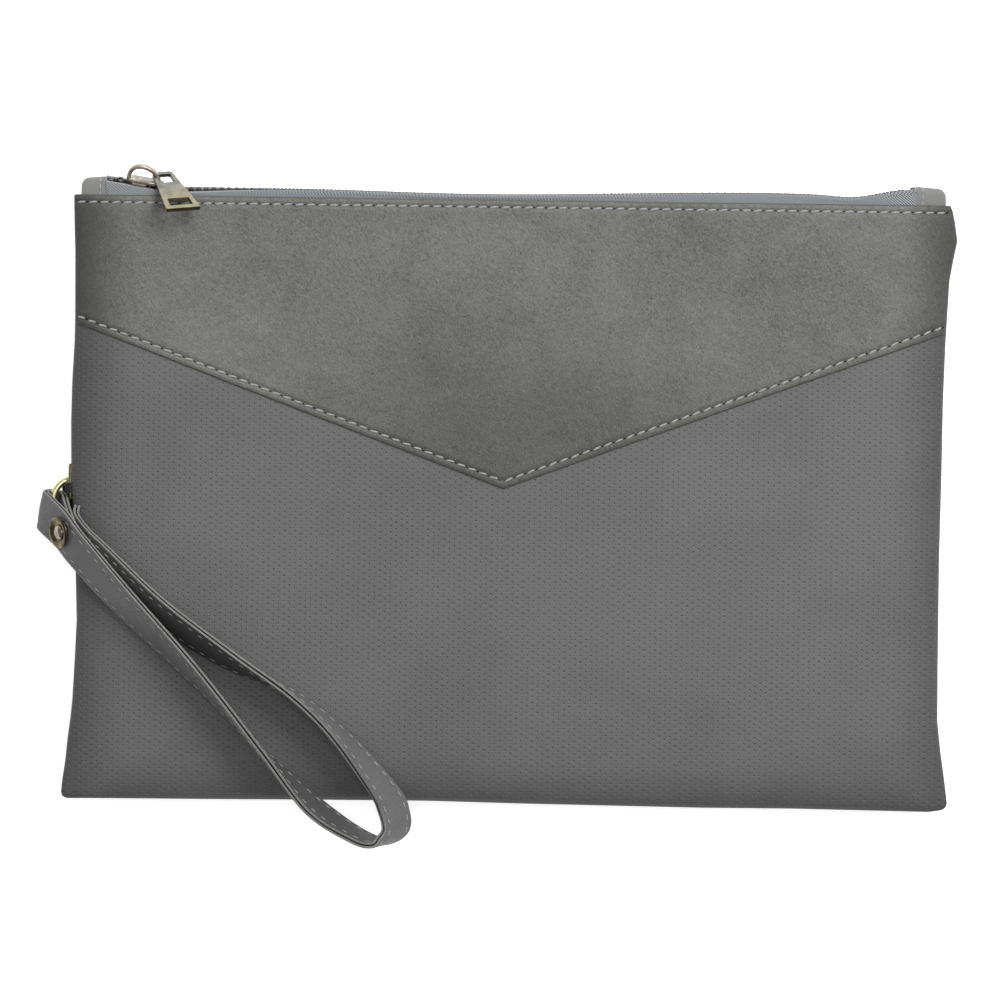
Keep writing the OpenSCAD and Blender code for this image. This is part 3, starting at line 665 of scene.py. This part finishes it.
def build_overlay_stitches():
    us = np.linspace(-0.999, 0.999, 900)
    ys = np.full_like(us, HALF_H - TOP_ROW)
    points, normals = row_on_overlay(us, ys, 0.0)
    stitch_row("top_edge_stitches", along_line(points, normals, TOP_PITCH, 0.2, 0.2), "bag",
               ("top_edge_thread",), 2.75, 0.36, 0.13, 0.14, TOP_PITCH)
    places = []
    for start, stop in ((-0.998, TIP_U), (TIP_U, 0.998)):
        us = np.linspace(start, stop, 450)
        points, normals = row_on_overlay(us, overlay_y(us) + V_ROW * SKEW, 0.0)
        places += along_line(points, normals, V_PITCH)
    stitch_row("overlay_stitches", places, "bag", ("overlay_thread",), 2.85, 0.36, 0.14, 0.14,
               V_PITCH)


# ---- Zip ----

TAB_LEFT, TAB_RIGHT = -134.0, 133.5
CHAIN_HALF, CHAIN_Z = 2.8, 6.0
TAPE_START_Y, TAPE_T, LEATHER_GAP = 91, 0.5, 0.15
LIP_DEPTH, TAPE_LIFT = PANEL_T + LEATHER_GAP, PANEL_T + 0.55
SLIDER_X, SLIDER_Y, TILT, TWIST = -121.0, 102.7, math.radians(-9.5), math.radians(15)
TOOTH_PITCH, TEETH_FROM = 2.5, SLIDER_X - 1.2
KNEE_L = 8
KNEE_X = SLIDER_X + KNEE_L
KNEE_Y = SLIDER_Y + KNEE_L * math.tan(TILT)


def chain_y(x):
    """Y of the chain: a straight slope under the slider, gentle waves, a dip and a rise at the right end."""
    wave = 0.5 * np.sin(np.radians(2.6 * (x - KNEE_X))) + 2.9 * np.exp(-((x - 139) / 19) ** 2)
    wave = wave + 1.1 / (1 + np.exp(-(x - 70) / 12)) - np.exp(-((x - 113) / 9) ** 2)
    return np.where(x < KNEE_X, SLIDER_Y + (x - SLIDER_X) * math.tan(TILT), KNEE_Y + wave)


def chain_twist(x):
    return np.where(x < KNEE_X, TWIST, TWIST * np.exp(-((x - KNEE_X) / 25) ** 2))


def chain_point(x, row, up):
    a = chain_twist(x)
    return np.stack([x, chain_y(x) + up * np.cos(a) - row * np.sin(a),
                     CHAIN_Z + up * np.sin(a) + row * np.cos(a)], -1)


def spline_rows(sections, per_span):
    """Smooth curve through each row of section points, (n, k, 3) to (n, m, 3)."""
    padded = np.concatenate([2 * sections[:, :1] - sections[:, 1:2], sections,
                             2 * sections[:, -1:] - sections[:, -2:-1]], axis=1)
    result = []
    for k in range(sections.shape[1] - 1):
        a, b, c, d = (padded[:, k + j] for j in range(4))
        for t in np.arange(per_span) / per_span:
            result.append(0.5 * (2 * b + (c - a) * t + (2 * a - 5 * b + 4 * c - d) * t * t
                                 + (3 * b - a - 3 * c + d) * t ** 3))
    result.append(sections[:, -1])
    return np.stack(result, axis=1)


def tape_sections(xs, side, off):
    """Cross-sections of one tape from under its lip to its row of teeth."""
    u, v = xs / SEAM_HALF_W, np.full_like(xs, TAPE_START_Y / HALF_H)
    one = np.ones_like(xs)
    if side > 0:
        z_start, z_lip = front_z(u, v) - LIP_DEPTH, front_z(xs / TOP_HALF_W, one) - LIP_DEPTH
    else:
        z_start, z_lip = back_z(u, v) + TAPE_LIFT, back_z(xs / TOP_HALF_W, one) + TAPE_LIFT
    up = TAPE_T / 2 - off
    bend = chain_point(xs, side * (CHAIN_HALF + 1.5), up - 0.4)
    if side > 0:
        bend[:, 2] = np.maximum(bend[:, 2], z_lip - off)
    else:
        bend[:, 1] = chain_y(xs) - 1.4
        bend[:, 2] = 0.95 + off
    return np.stack([
        np.stack([xs, TAPE_START_Y * one, z_start - side * off], -1),
        np.stack([xs, 96.5 * one, z_lip - side * off], -1),
        np.stack([xs, 98.8 * one, z_lip - side * off], -1),
        bend,
        chain_point(xs, side * (CHAIN_HALF + 1.15), up),
        chain_point(xs, side * (CHAIN_HALF + 0.05), up)], axis=1)


def build_tapes():
    xs = np.linspace(TAB_LEFT + 0.1, TAB_RIGHT - 0.1, 260)
    for name, side, node in (("tape_front", 1, "zip_tape_front"), ("tape_back", -1, "zip_tape_back")):
        outer, inner = (spline_rows(tape_sections(xs, side, off), 5) for off in (0.0, TAPE_T))
        if side > 0:
            verts, faces, kinds = sheet_solid(outer, inner, 0.1, 3)
        else:
            verts, faces, kinds = sheet_solid(inner, outer, 0.1, 3)
        lengths = np.concatenate([np.zeros((len(xs), 1)),
                                  np.cumsum(np.linalg.norm(np.diff(outer, axis=1), axis=2), axis=1)], axis=1)
        grid = np.stack([np.broadcast_to(xs[:, None], lengths.shape), lengths], -1).reshape(-1, 2)
        rest = verts[2 * len(grid):, :2]
        uvs = np.vstack([grid, grid, rest]) * MM
        piece(name, verts, faces, [tape_cloth], "bag", (node,), uvs=uvs)


def tooth_shape():
    """One zip tooth: clamping legs, a waist and a rounded head. X is along the zip, Z to the other tape."""
    rings = [(-1.55, 0.45, 0.6), (-1.45, 0.55, 0.75), (-0.5, 0.6, 0.82), (0.1, 0.45, 0.7), (0.5, 0.6, 0.78),
             (1.2, 0.6, 0.78), (1.5, 0.4, 0.6), (1.6, 0.2, 0.3)]
    around = 12
    verts = []
    for z, half_x, half_y in rings:
        for k in range(around):
            a = 2 * math.pi * k / around
            c, s = math.cos(a), math.sin(a)
            verts.append((half_x * math.copysign(abs(c) ** 0.5, c),
                          half_y * math.copysign(abs(s) ** 0.5, s), z))
    return np.array(verts), ring_faces(len(rings), around, True)


def build_teeth():
    shape = tooth_shape()
    count = int((TAB_RIGHT - 3 - TEETH_FROM) // TOOTH_PITCH)
    for name, side, shift, node in (("teeth_front", 1, 0, "zip_teeth_front"),
                                    ("teeth_back", -1, TOOTH_PITCH / 2, "zip_teeth_back")):
        parts = []
        for i in range(-4, count):
            x = TEETH_FROM + shift + i * TOOTH_PITCH
            if x < TAB_LEFT + 1.2 or SLIDER_X - 9 < x < SLIDER_X - 4.4:
                continue
            row = side * (CHAIN_HALF - 1.75)
            at = chain_point(np.array(x), row, 0.0)
            toward = chain_point(np.array(x), row - side, 0.0) - at
            ahead = np.array([1, float(chain_y(x + 0.5) - chain_y(x - 0.5)), 0])
            parts.append(placed(shape, at, ahead, toward))
        verts, faces, _ = joined(parts)
        piece(name, verts, faces, [teeth_metal], "bag", (node,), sharp=35)


def smooth_box(size, bevel, at, x_axis, z_axis):
    """Box with rounded edges as (vertices, faces)."""
    bm = bmesh.new()
    bmesh.ops.create_cube(bm, size=1)
    bmesh.ops.scale(bm, vec=size, verts=bm.verts)
    bmesh.ops.bevel(bm, geom=bm.edges[:], offset=bevel, segments=3, profile=0.6, affect="EDGES")
    bm.verts.ensure_lookup_table()
    verts = np.array([v.co[:] for v in bm.verts])
    faces = [tuple(v.index for v in f.verts) for f in bm.faces]
    bm.free()
    return placed((verts, faces), at, x_axis, z_axis)


def build_stops():
    parts = []
    for side in (-1, 1):
        x = np.array(SLIDER_X - 8.35)
        at = chain_point(x, side * 2.0, 0.0)
        toward = chain_point(x, side * 2.0 + 1, 0.0) - at
        parts.append(smooth_box((1.6, 2.1, 1.4), 0.35, at, (1, math.tan(TILT), 0), toward))
    verts, faces, _ = joined(parts)
    piece("top_stops", verts, faces, [teeth_metal], "bag", ("zip_top_stops",), sharp=35)
    x = np.array(TAB_RIGHT - 1.2)
    box = smooth_box((1.6, 2.2, 5.4), 0.4, chain_point(x, 0.0, 0.0), (1, 0.1, 0), (0, 0, 1))
    piece("bottom_stop", box[0], box[1], [teeth_metal], "bag", ("zip_bottom_stop",), sharp=35)


TAB_ENDS, TAB_T, TAB_ROOT_Y, TAB_LIFT, TAB_PITCH = (-142.1, 143.2), 0.8, 96, 1.4, 2.3


def tab_section(x, off):
    """Folded leather over one end of the zip, as a line from the front lip over the nose to the back lip."""
    top = float(front_z(np.array(x / TOP_HALF_W), np.array(1.0))) - LIP_DEPTH - off
    low = float(back_z(np.array(x / TOP_HALF_W), np.array(1.0))) + TAB_LIFT + off
    mid, rise = (top + low) / 2, (top - low) / 2
    round_r, nose_r, nose_y = 2.7, 2.4, 103
    outer = -TAB_ENDS[0] if x < 0 else TAB_ENDS[1]
    past = min(round_r, max(0.0, round_r - outer + abs(x)))
    corner = round_r - math.sqrt(round_r ** 2 - past ** 2)
    lean = 0.08 * (139 - abs(x))
    points = [(x, TAB_ROOT_Y, top), (x, 98.5, top + 0.05)]
    for a in np.radians(np.linspace(90, -90, 13)):
        points.append((x, nose_y + lean - corner + (nose_r - off) * math.cos(a), mid + rise * math.sin(a)))
    points.append((x, TAB_ROOT_Y, low))
    return points


def build_tabs():
    for name, ends, node in (("tab_left", (TAB_ENDS[0], TAB_LEFT), "zip_end_tab_left"),
                             ("tab_right", (TAB_RIGHT, TAB_ENDS[1]), "zip_end_tab_right")):
        xs = ends[0] + (ends[1] - ends[0]) * (1 - np.cos(np.linspace(0, math.pi, 33))) / 2
        outer, inner = (np.array([tab_section(x, off) for x in xs]) for off in (0.0, TAB_T))
        verts, faces, kinds = sheet_solid(outer, inner, 0.3, 5)
        piece(name, verts, faces, [tab_leather, cut_edge], "bag", (node,),
              [1 if k == 1 else 0 for k in kinds])
    places = []
    for x in (TAB_LEFT - 1.9, TAB_RIGHT + 2.0):
        line = np.array([[x, *p[1:]] for p in tab_section(x, 0.0)[1:9]])
        steps = np.gradient(line, axis=0)
        normals = np.cross([1.0, 0, 0], steps)
        places += along_line(line, normals, TAB_PITCH, 0.4)
    stitch_row("tab_stitches", places, "bag", ("end_tab_threads",), 1.7, 0.24, 0.05, 0.08, TAB_PITCH,
               False)


# ---- Slider and pull ----

def sweep(path, ups, section):
    """Section (list of x, y) swept along a path; ups gives the section's y axis."""
    path, ups = np.asarray(path, float), np.asarray(ups, float)
    steps = np.gradient(path, axis=0)
    verts = []
    for p, step, up in zip(path, steps, ups):
        t = step / np.linalg.norm(step)
        y = up - t * (up @ t)
        y = y / np.linalg.norm(y)
        x = np.cross(y, t)
        verts.extend([p + x * a + y * b for a, b in section])
    return np.array(verts), ring_faces(len(path), len(section), True)


def rounded_section(width, height, corner):
    result = []
    for sx, sy, start in ((1, 1, 0), (-1, 1, 90), (-1, -1, 180), (1, -1, 270)):
        for a in np.radians(np.linspace(start, start + 90, 4)):
            result.append((sx * (width / 2 - corner) + corner * math.cos(a),
                           sy * (height / 2 - corner) + corner * math.sin(a)))
    return result


def slider_frame():
    """Directions of the slider: along the zip, away from the bag, and towards the front."""
    along = np.array([math.cos(TILT), math.sin(TILT), 0])
    out = np.array([-math.sin(TILT) * math.cos(TWIST), math.cos(TILT) * math.cos(TWIST), math.sin(TWIST)])
    return along, out, np.cross(along, out)


def outline_solid(points, depth, at, x_axis, y_axis, bevel=0.25):
    """Flat plate from an outline, with its edges rounded."""
    bm = bmesh.new()
    face = bm.faces.new([bm.verts.new((x, y, -depth / 2)) for x, y in points])
    grown = bmesh.ops.extrude_face_region(bm, geom=[face])
    moved = [v for v in grown["geom"] if isinstance(v, bmesh.types.BMVert)]
    bmesh.ops.translate(bm, vec=(0, 0, depth), verts=moved)
    bmesh.ops.recalc_face_normals(bm, faces=bm.faces)
    rims = [e for e in bm.edges if abs(e.verts[0].co.z - e.verts[1].co.z) < 1e-6]
    bmesh.ops.bevel(bm, geom=rims, offset=bevel, segments=3, profile=0.6, affect="EDGES")
    verts = np.array([v.co[:] for v in bm.verts])
    bm.verts.index_update()
    faces = [tuple(v.index for v in f.verts) for f in bm.faces]
    bm.free()
    x, y = np.asarray(x_axis, float), np.asarray(y_axis, float)
    return verts @ np.array([x, y, np.cross(x, y)]) + np.asarray(at, float), faces


def build_slider():
    along, out, front = slider_frame()
    centre = np.array([SLIDER_X, SLIDER_Y, CHAIN_Z])
    nose, nose_r = -5.75, 1.4

    def corner(side, start):
        return [(nose + nose_r + nose_r * math.cos(a), side * 2.35 + nose_r * math.sin(a))
                for a in np.radians(np.linspace(start, start + 90, 6))]
    tail = [(0.5, -3.75), (4.6, -3.15), (5.6, -2.4), (5.6, 2.4), (4.6, 3.15), (0.5, 3.75)]
    shape = corner(-1, 180) + tail + corner(1, 90)
    parts = []
    for level in (1.725, -1.725):
        parts.append(outline_solid(shape, 1.05, centre + out * level, along, -front, 0.3))
    for side in (-1, 1):
        for level in (0.85, -0.85):
            at = centre + along * -2.1 + out * level + front * side * 3.35
            parts.append(smooth_box((4.8, 0.95, 0.8), 0.25, at, along, front))
    parts.append(smooth_box((2.0, 2.9, 2.0), 0.6, centre + along * (nose + 1.7), along, front))
    verts, faces, _ = joined(parts)
    piece("slider_plates", verts, faces, [slider_metal], "slider", ("slider_body",), sharp=40)
    bow = np.array([(-126.55, 104.6), (-126.65, 105.6), (-126.3, 107.0), (-125.4, 108.3), (-123.6, 109.1),
                    (-121.2, 108.9), (-119.2, 108.0), (-117.7, 106.8), (-116.9, 105.2), (-116.6, 104.2)])
    bow = spline_rows(bow[None], 6)[0]
    path = np.column_stack([bow, CHAIN_Z + 0.27 * (bow[:, 1] - 102.7)])
    inward = np.array([-121.7, 104.2, CHAIN_Z])
    ups = path - inward
    base = centre + out * 1.9
    body = sweep(path, ups, rounded_section(2.4, 1.3, 0.45))
    feet = [smooth_box((2.0, 1.3, 2.7), 0.4, base + along * x - out * 0.1, along, front) for x in (-5.4, 4.5)]
    verts, faces, _ = joined([body] + feet)
    piece("slider_arch", verts, faces, [slider_metal], "slider", ("slider_bridge",), sharp=40)


def build_pull():
    p = np.array([0.339, -0.526, 0.78])
    p /= np.linalg.norm(p)
    s = np.array([0.95, 0.05, -0.28])
    s -= p * (p @ s)
    s /= np.linalg.norm(s)
    n = np.cross(p, s)
    top = np.array([-115.9, 107.0, 4.1])
    length, end_w, top_w, thick = 23.0, 12.0, 6.9, 1.4

    def half(t):
        return (top_w + (end_w - top_w) * t / length) / 2
    outer = [(-half(0) + 0.9, 0.0), (half(0) - 0.9, 0.0), (half(1) - 0.25, 0.35), (half(1), 1.1),
             (half(10), 10), (end_w / 2, length - 0.3), (end_w / 2 - 0.3, length), (-end_w / 2 + 0.3, length),
             (-end_w / 2, length - 0.3), (-half(10), 10), (-half(1), 1.1), (-half(1) + 0.25, 0.35)]
    window = [(-2.2, 1.4), (2.0, 1.4), (2.3, 1.8), (2.6, 6.1), (2.2, 6.7), (-2.2, 6.7), (-2.6, 6.1),
              (-2.5, 1.8)]
    slot = [(-half(16.6) + 1.7, 16.6), (half(16.6) - 1.5, 16.6), (half(21) - 1.8, 21.1),
            (-half(21) + 1.8, 21.1)]
    curve = bpy.data.curves.new("pull_outline", "CURVE")
    curve.dimensions = "2D"
    curve.fill_mode = "BOTH"
    curve.extrude = (thick / 2 - 0.16) * MM
    curve.bevel_depth = 0.16 * MM
    curve.bevel_resolution = 2
    curve.offset = -0.16 * MM
    for ring in (outer, window, slot):
        line = curve.splines.new("POLY")
        line.points.add(len(ring) - 1)
        for point, (x, y) in zip(line.points, ring):
            point.co = (x * MM, y * MM, 0, 1)
        line.use_cyclic_u = True
    holder = bpy.data.objects.new("pull_outline", curve)
    scene.collection.objects.link(holder)
    bpy.context.view_layer.update()
    mesh = bpy.data.meshes.new_from_object(holder)
    bpy.data.objects.remove(holder)
    flat = np.array([v.co[:] for v in mesh.vertices]) / MM
    faces = [tuple(f.vertices) for f in mesh.polygons]
    verts = flat @ np.array([s, p, -n]) + top
    piece("pull_plate", verts, faces, [plate_metal], "pull", ("pull_tab",),
          uvs=flat[:, :2] * MM, sharp=25)


# ---- Strap ----

# Places along the mid surface of the strap, each a point on its lower edge and one on its upper edge
STRAP_RETURN = [
    [[-145, -14, 7], [-142, -3, 12.5]], [[-145, -17, 8.5], [-142, -6, 14]],
    [[-141, -22, 13], [-138, -11, 18.5]], [[-135.5, -25.5, 14], [-132.5, -16, 22]],
    [[-117.5, -40, 16.5], [-113.5, -33.5, 27]], [[-94, -54.5, 17.5], [-90, -51, 29]],
    [[-70, -64, 17.5], [-71, -64.5, 30]], [[-51.5, -77.5, 17.5], [-57.5, -77.5, 29]],
    [[-35, -95, 17], [-44.5, -95.5, 24.5]]]
STRAP_LOOP = [
    [[-31.5, -102.5, 16.5], [-41, -102.5, 23]], [[-31.5, -108, 16], [-39.5, -108, 25.5]],
    [[-35, -111.5, 16], [-41, -111, 27.5]], [[-40, -112, 16], [-43.5, -113.5, 28.5]],
    [[-48.5, -108, 16.5], [-50, -112, 28.5]]]
STRAP_FRONT = [
    [[-61, -99, 17], [-64.5, -103, 28.5]], [[-78, -85, 17.5], [-79, -84.5, 30]],
    [[-95, -68, 17.5], [-93.5, -66, 30]], [[-109.5, -55, 17], [-106, -51, 28.5]],
    [[-129, -37.5, 15.5], [-124.5, -30.5, 25.5]], [[-143, -23, 14], [-140, -12.5, 20.5]]]
STRAP_FOLD = [
    [[-148, -17, 10.5], [-145, -6, 16.5]], [[-153.5, -12, 6.5], [-151, 0, 10]],
    [[-154.5, -10.5, 4.5], [-152.5, 1.5, 7.5]], [[-153.5, -10, 2.5], [-151.5, 2, 4.5]],
    [[-151, -10, 1.5], [-149.5, 2, 2.5]], [[-148.5, -10, 2.5], [-147.5, 1.5, 3]],
    [[-147, -9.5, 5], [-146.5, 0.5, 6]], [[-147.5, -12.5, 8.5], [-145.5, -2.5, 11]],
    [[-147, -17, 9.5], [-144, -6.5, 15.5]], [[-146, -19, 10.5], [-143, -8.5, 17]]]
ROUTE = np.array(STRAP_RETURN + STRAP_LOOP + STRAP_FRONT + STRAP_FOLD)
PER_SPAN = 10
FACE_T, CORE_T, LAYER_GAP = 0.88, 0.5, 0.02
STRAP_PITCH = 4.15


def strap_stations():
    """Smooth lower and upper edges, the normals and the length run so far."""
    low, high = spline_rows(np.transpose(ROUTE, (1, 0, 2)), PER_SPAN)
    mid = (low + high) / 2
    steps = np.gradient(mid, axis=0)
    normals = np.cross(high - low, steps)
    normals /= np.linalg.norm(normals, axis=1)[:, None]
    run = np.concatenate([[0], np.cumsum(np.linalg.norm(np.diff(mid, axis=0), axis=1))])
    return low, high, normals, run


def strap_layer(low, high, normals, run, inner, outer, face_side):
    """One layer of the strap; its outer surface puffs up between the two stitch rows."""
    across = np.array([0, 0.02, 0.05, 0.09, 0.12, 0.15, 0.18, 0.22, 0.3, 0.4, 0.5, 0.6, 0.7, 0.78, 0.82,
                       0.85, 0.88,
                       0.91, 0.95, 0.98, 1.0])
    dip = 0.14 * (np.exp(-((across - 0.15) / 0.035) ** 2) + np.exp(-((across - 0.85) / 0.035) ** 2))
    roll = 0.16 * (np.exp(-(across / 0.022) ** 2) + np.exp(-((across - 1) / 0.022) ** 2))
    puff = 0.07 * np.sin(np.pi * across) ** 2
    width = high - low
    rows_out = low[:, None] + width[:, None] * across[None, :, None]
    waver = 0.05 * np.sin(run[:, None] * 1.1 + across[None] * 5) + 0.04 * np.sin(run[:, None] * 0.37 + 1.3)
    off_out = outer + face_side * ((puff - dip - roll)[None] + waver * (across * (1 - across) * 4)[None])
    off_in = np.full_like(off_out, inner)
    top = rows_out + normals[:, None] * off_out[..., None]
    bottom = rows_out + normals[:, None] * off_in[..., None]
    if face_side < 0:
        top, bottom = bottom, top
    verts, faces, kinds = sheet_solid(top, bottom, 0.12, 4)
    length = np.linalg.norm(width, axis=1)
    flat = np.stack([across[None] * length[:, None], np.broadcast_to(run[:, None], off_out.shape)], -1)
    flat = flat.reshape(-1, 2) * MM
    rest = np.zeros((len(verts) - 2 * len(flat), 2))
    return verts, faces, kinds, np.vstack([flat, flat, rest])


def build_strap():
    low, high, normals, run = strap_stations()
    half = CORE_T / 2
    out = half + FACE_T
    for name, material, side, node in (("strap_outer", strap_leather, 1, "strap_face"),
                                       ("strap_inner", strap_inner, -1, "strap_backing")):
        verts, faces, kinds, uvs = strap_layer(low, high, normals, run, side * (half + LAYER_GAP),
                                               side * out, side)
        piece(name, verts, faces, [material, cut_edge], "strap", (node,),
              [1 if k == 1 else 0 for k in kinds], uvs)
    # A black sheet between the two layers, just inside their edges: painted shade of the gap between them.
    shrink = (high - low) * 0.035
    top = np.stack([low + shrink + normals * half, high - shrink + normals * half], axis=1)
    bottom = np.stack([low + shrink - normals * half, high - shrink - normals * half], axis=1)
    mid_t, mid_b = (top[:, :1] + top[:, 1:]) / 2, (bottom[:, :1] + bottom[:, 1:]) / 2
    top = np.concatenate([top[:, :1], mid_t, top[:, 1:]], axis=1)
    bottom = np.concatenate([bottom[:, :1], mid_b, bottom[:, 1:]], axis=1)
    verts, faces, kinds = sheet_solid(top, bottom, 0.05, 3)
    piece("strap_gap_shade_sheet", verts, faces, [strap_gap_shade], "strap", ("strap_core",))
    fold_run = run[-1] - run[(len(ROUTE) - len(STRAP_FOLD)) * PER_SPAN]
    places = []
    for side in (1, -1):
        for share in (0.15, 0.85):
            line = low + (high - low) * share + normals * side * (out - 0.06)
            places += along_line(line, normals * side, STRAP_PITCH, 12.0, fold_run + 3)
    stitch_row("strap_stitches", places, "strap", ("strap_threads",), 2.15, 0.18, 0.06, 0.04,
               STRAP_PITCH, False)


# ---- Rivet, rings and side tab ----

def lathe(profile, at, axis, around):
    """Round solid from (radius, height) pairs along an axis."""
    z = np.asarray(axis, float) / np.linalg.norm(axis)
    x = np.cross([0, 1, 0], z)
    x /= np.linalg.norm(x)
    y = np.cross(z, x)
    verts = []
    for r, h in profile:
        for a in np.linspace(0, 2 * math.pi, around, endpoint=False):
            verts.append(np.asarray(at) + x * r * math.cos(a) + y * r * math.sin(a) + z * h)
    return np.array(verts), ring_faces(len(profile), around, True)


def build_rivet():
    at = np.array([-146.9, -11.85, 13.85])
    axis = np.array([-0.79, -0.15, 0.56])
    axis /= np.linalg.norm(axis)
    base = 1.07
    rim = [(4.8, base), (5.2, base + 0.2), (5.25, base + 0.55), (5.05, base + 0.85), (4.7, base + 0.98)]
    cup = [(4.1, base + 1.0), (3.5, base + 0.72), (3.0, base + 0.42), (2.7, base + 0.22), (2.5, base + 0.2)]
    dome = [(2.45 * math.cos(a), base + 0.25 + 0.95 * math.sin(a)) for a in np.radians(np.linspace(4, 88,
                                                                                                   12))]
    around = 64
    verts, faces = lathe(rim + cup + dome, at, axis, around)
    inner = len(rim + cup) * around
    indices = [1 if min(f) >= inner else 0 for f in faces]
    piece("rivet_dome_cap", verts, faces, [rivet_metal, rivet_dome_painted_highlight], "strap", ("rivet_cap",),
          indices)
    stack_t = 6.2
    low = base - stack_t
    verts, faces = lathe([(1.3, low + 0.1), (1.4, low + 0.4), (1.4, base + 0.2)], at, axis, 32)
    piece("rivet_shank", verts, faces, [rivet_metal], "strap", ("rivet_post",))
    verts, faces = lathe([(2.2, low - 0.6), (2.4, low - 0.45), (2.4, low - 0.15), (2.25, low)], at, axis, 48)
    piece("rivet_back_cap", verts, faces, [rivet_metal], "strap", ("rivet_back",))


def build_side_tab():
    bar = np.array([-144.4, 2.8, 7.6])
    inner, outer, neck, half_w = 0.9, 1.8, 1.7, 1.75
    ys = np.linspace(-half_w, half_w, 9)
    angles = np.radians(np.concatenate([[90], np.linspace(90, 360 + 60, 40)]))

    def ring(y, r):
        points = [(bar[0] + neck, bar[1] + y, bar[2] + r)]
        points += [(bar[0] + r * math.cos(a), bar[1] + y, bar[2] + r * math.sin(a)) for a in angles[1:]]
        return points
    top = np.array([ring(y, outer) for y in ys])
    low = np.array([ring(y, inner) for y in ys])
    verts, faces, kinds = sheet_solid(top, low, 0.2, 4)
    piece("side_tab", verts, faces, [side_tab_painted_shade, cut_edge], "bag", ("ring_tab",),
          [1 if k == 1 else 0 for k in kinds])
    places = [(bar + [1.2, 0, outer], np.array([0, 1.0, 0]), np.array([0, 0, 1.0]))]
    stitch_row("side_tab_stitches", places, "bag", ("ring_tab_thread",), 2.2, 0.22, 0.0, 0.05,
               pierced=False)
    # A dark sheet of painted shadow under the ring: it stands for the shade between the strap and the bag,
    # where there is no part.
    shadow_sheet_z, shadow_sheet_t = 0.42, 0.34
    grid = np.meshgrid(np.linspace(-147.3, -141, 9), np.linspace(-6, 4.5, 13), [shadow_sheet_z], indexing="ij")
    shadow_sheet = np.stack(grid, -1)[:, :, 0]
    verts, faces, _ = sheet_solid(shadow_sheet, shadow_sheet - [0, 0, shadow_sheet_t], 0.1, 4)
    piece("side_tab_shadow_sheet", verts, faces, [side_tab_painted_shade], "bag")


def own_material(node, material):
    """Gives a CAD node its finish; its mesh stays as it is."""
    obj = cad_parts[node]
    if obj.material_slots:
        for held in obj.material_slots:
            held.material = material
    else:
        obj.data.materials.append(material)


build_panels()
build_linings()
build_overlay()
build_overlay_stitches()
build_tapes()
build_teeth()
build_stops()
build_tabs()
build_slider()
build_pull()
build_strap()
build_rivet()
build_side_tab()
own_material("side_d_ring", loop_metal_painted_shade)
own_material("strap_ring", ring_metal)


# ---- Floor and surroundings ----

def build_floor():
    n = Nodes("floor_paper")
    fibre = n.noise(n.place(), 40, 2)
    tone = n.mix(n.ramp(fibre, 0.3, 0.7), (0.93, 0.93, 0.93), (0.95, 0.95, 0.95))
    n.finish(tone, 0.9, Specular_IOR_Level=0.1, Emission_Color=(1, 1, 1, 1), Emission_Strength=0.68)
    mesh = bpy.data.meshes.new("floor")
    half, z = 3, -0.0002
    corners = [(-half, -half, z), (half, -half, z), (half, half, z), (-half, half, z)]
    mesh.from_pydata(corners, [], [(0, 1, 2, 3)])
    mesh.materials.append(n.mat)
    floor = bpy.data.objects.new("floor", mesh)
    scene.collection.objects.link(floor)


def build_world():
    world = bpy.data.worlds.new("studio")
    world.use_nodes = True
    scene.world = world
    tree = world.node_tree
    back = tree.nodes["Background"]
    coord = tree.nodes.new("ShaderNodeTexCoord")
    split = tree.nodes.new("ShaderNodeSeparateXYZ")
    ramp = tree.nodes.new("ShaderNodeMapRange")
    ramp.inputs[1].default_value, ramp.inputs[2].default_value = -0.1, 0.9
    ramp.inputs[3].default_value, ramp.inputs[4].default_value = 0.1, 0.4
    tree.links.new(coord.outputs["Generated"], split.inputs[0])
    tree.links.new(split.outputs[2], ramp.inputs[0])
    tree.links.new(ramp.outputs[0], back.inputs["Color"])
    back.inputs["Strength"].default_value = 1.0


build_floor()
build_world()
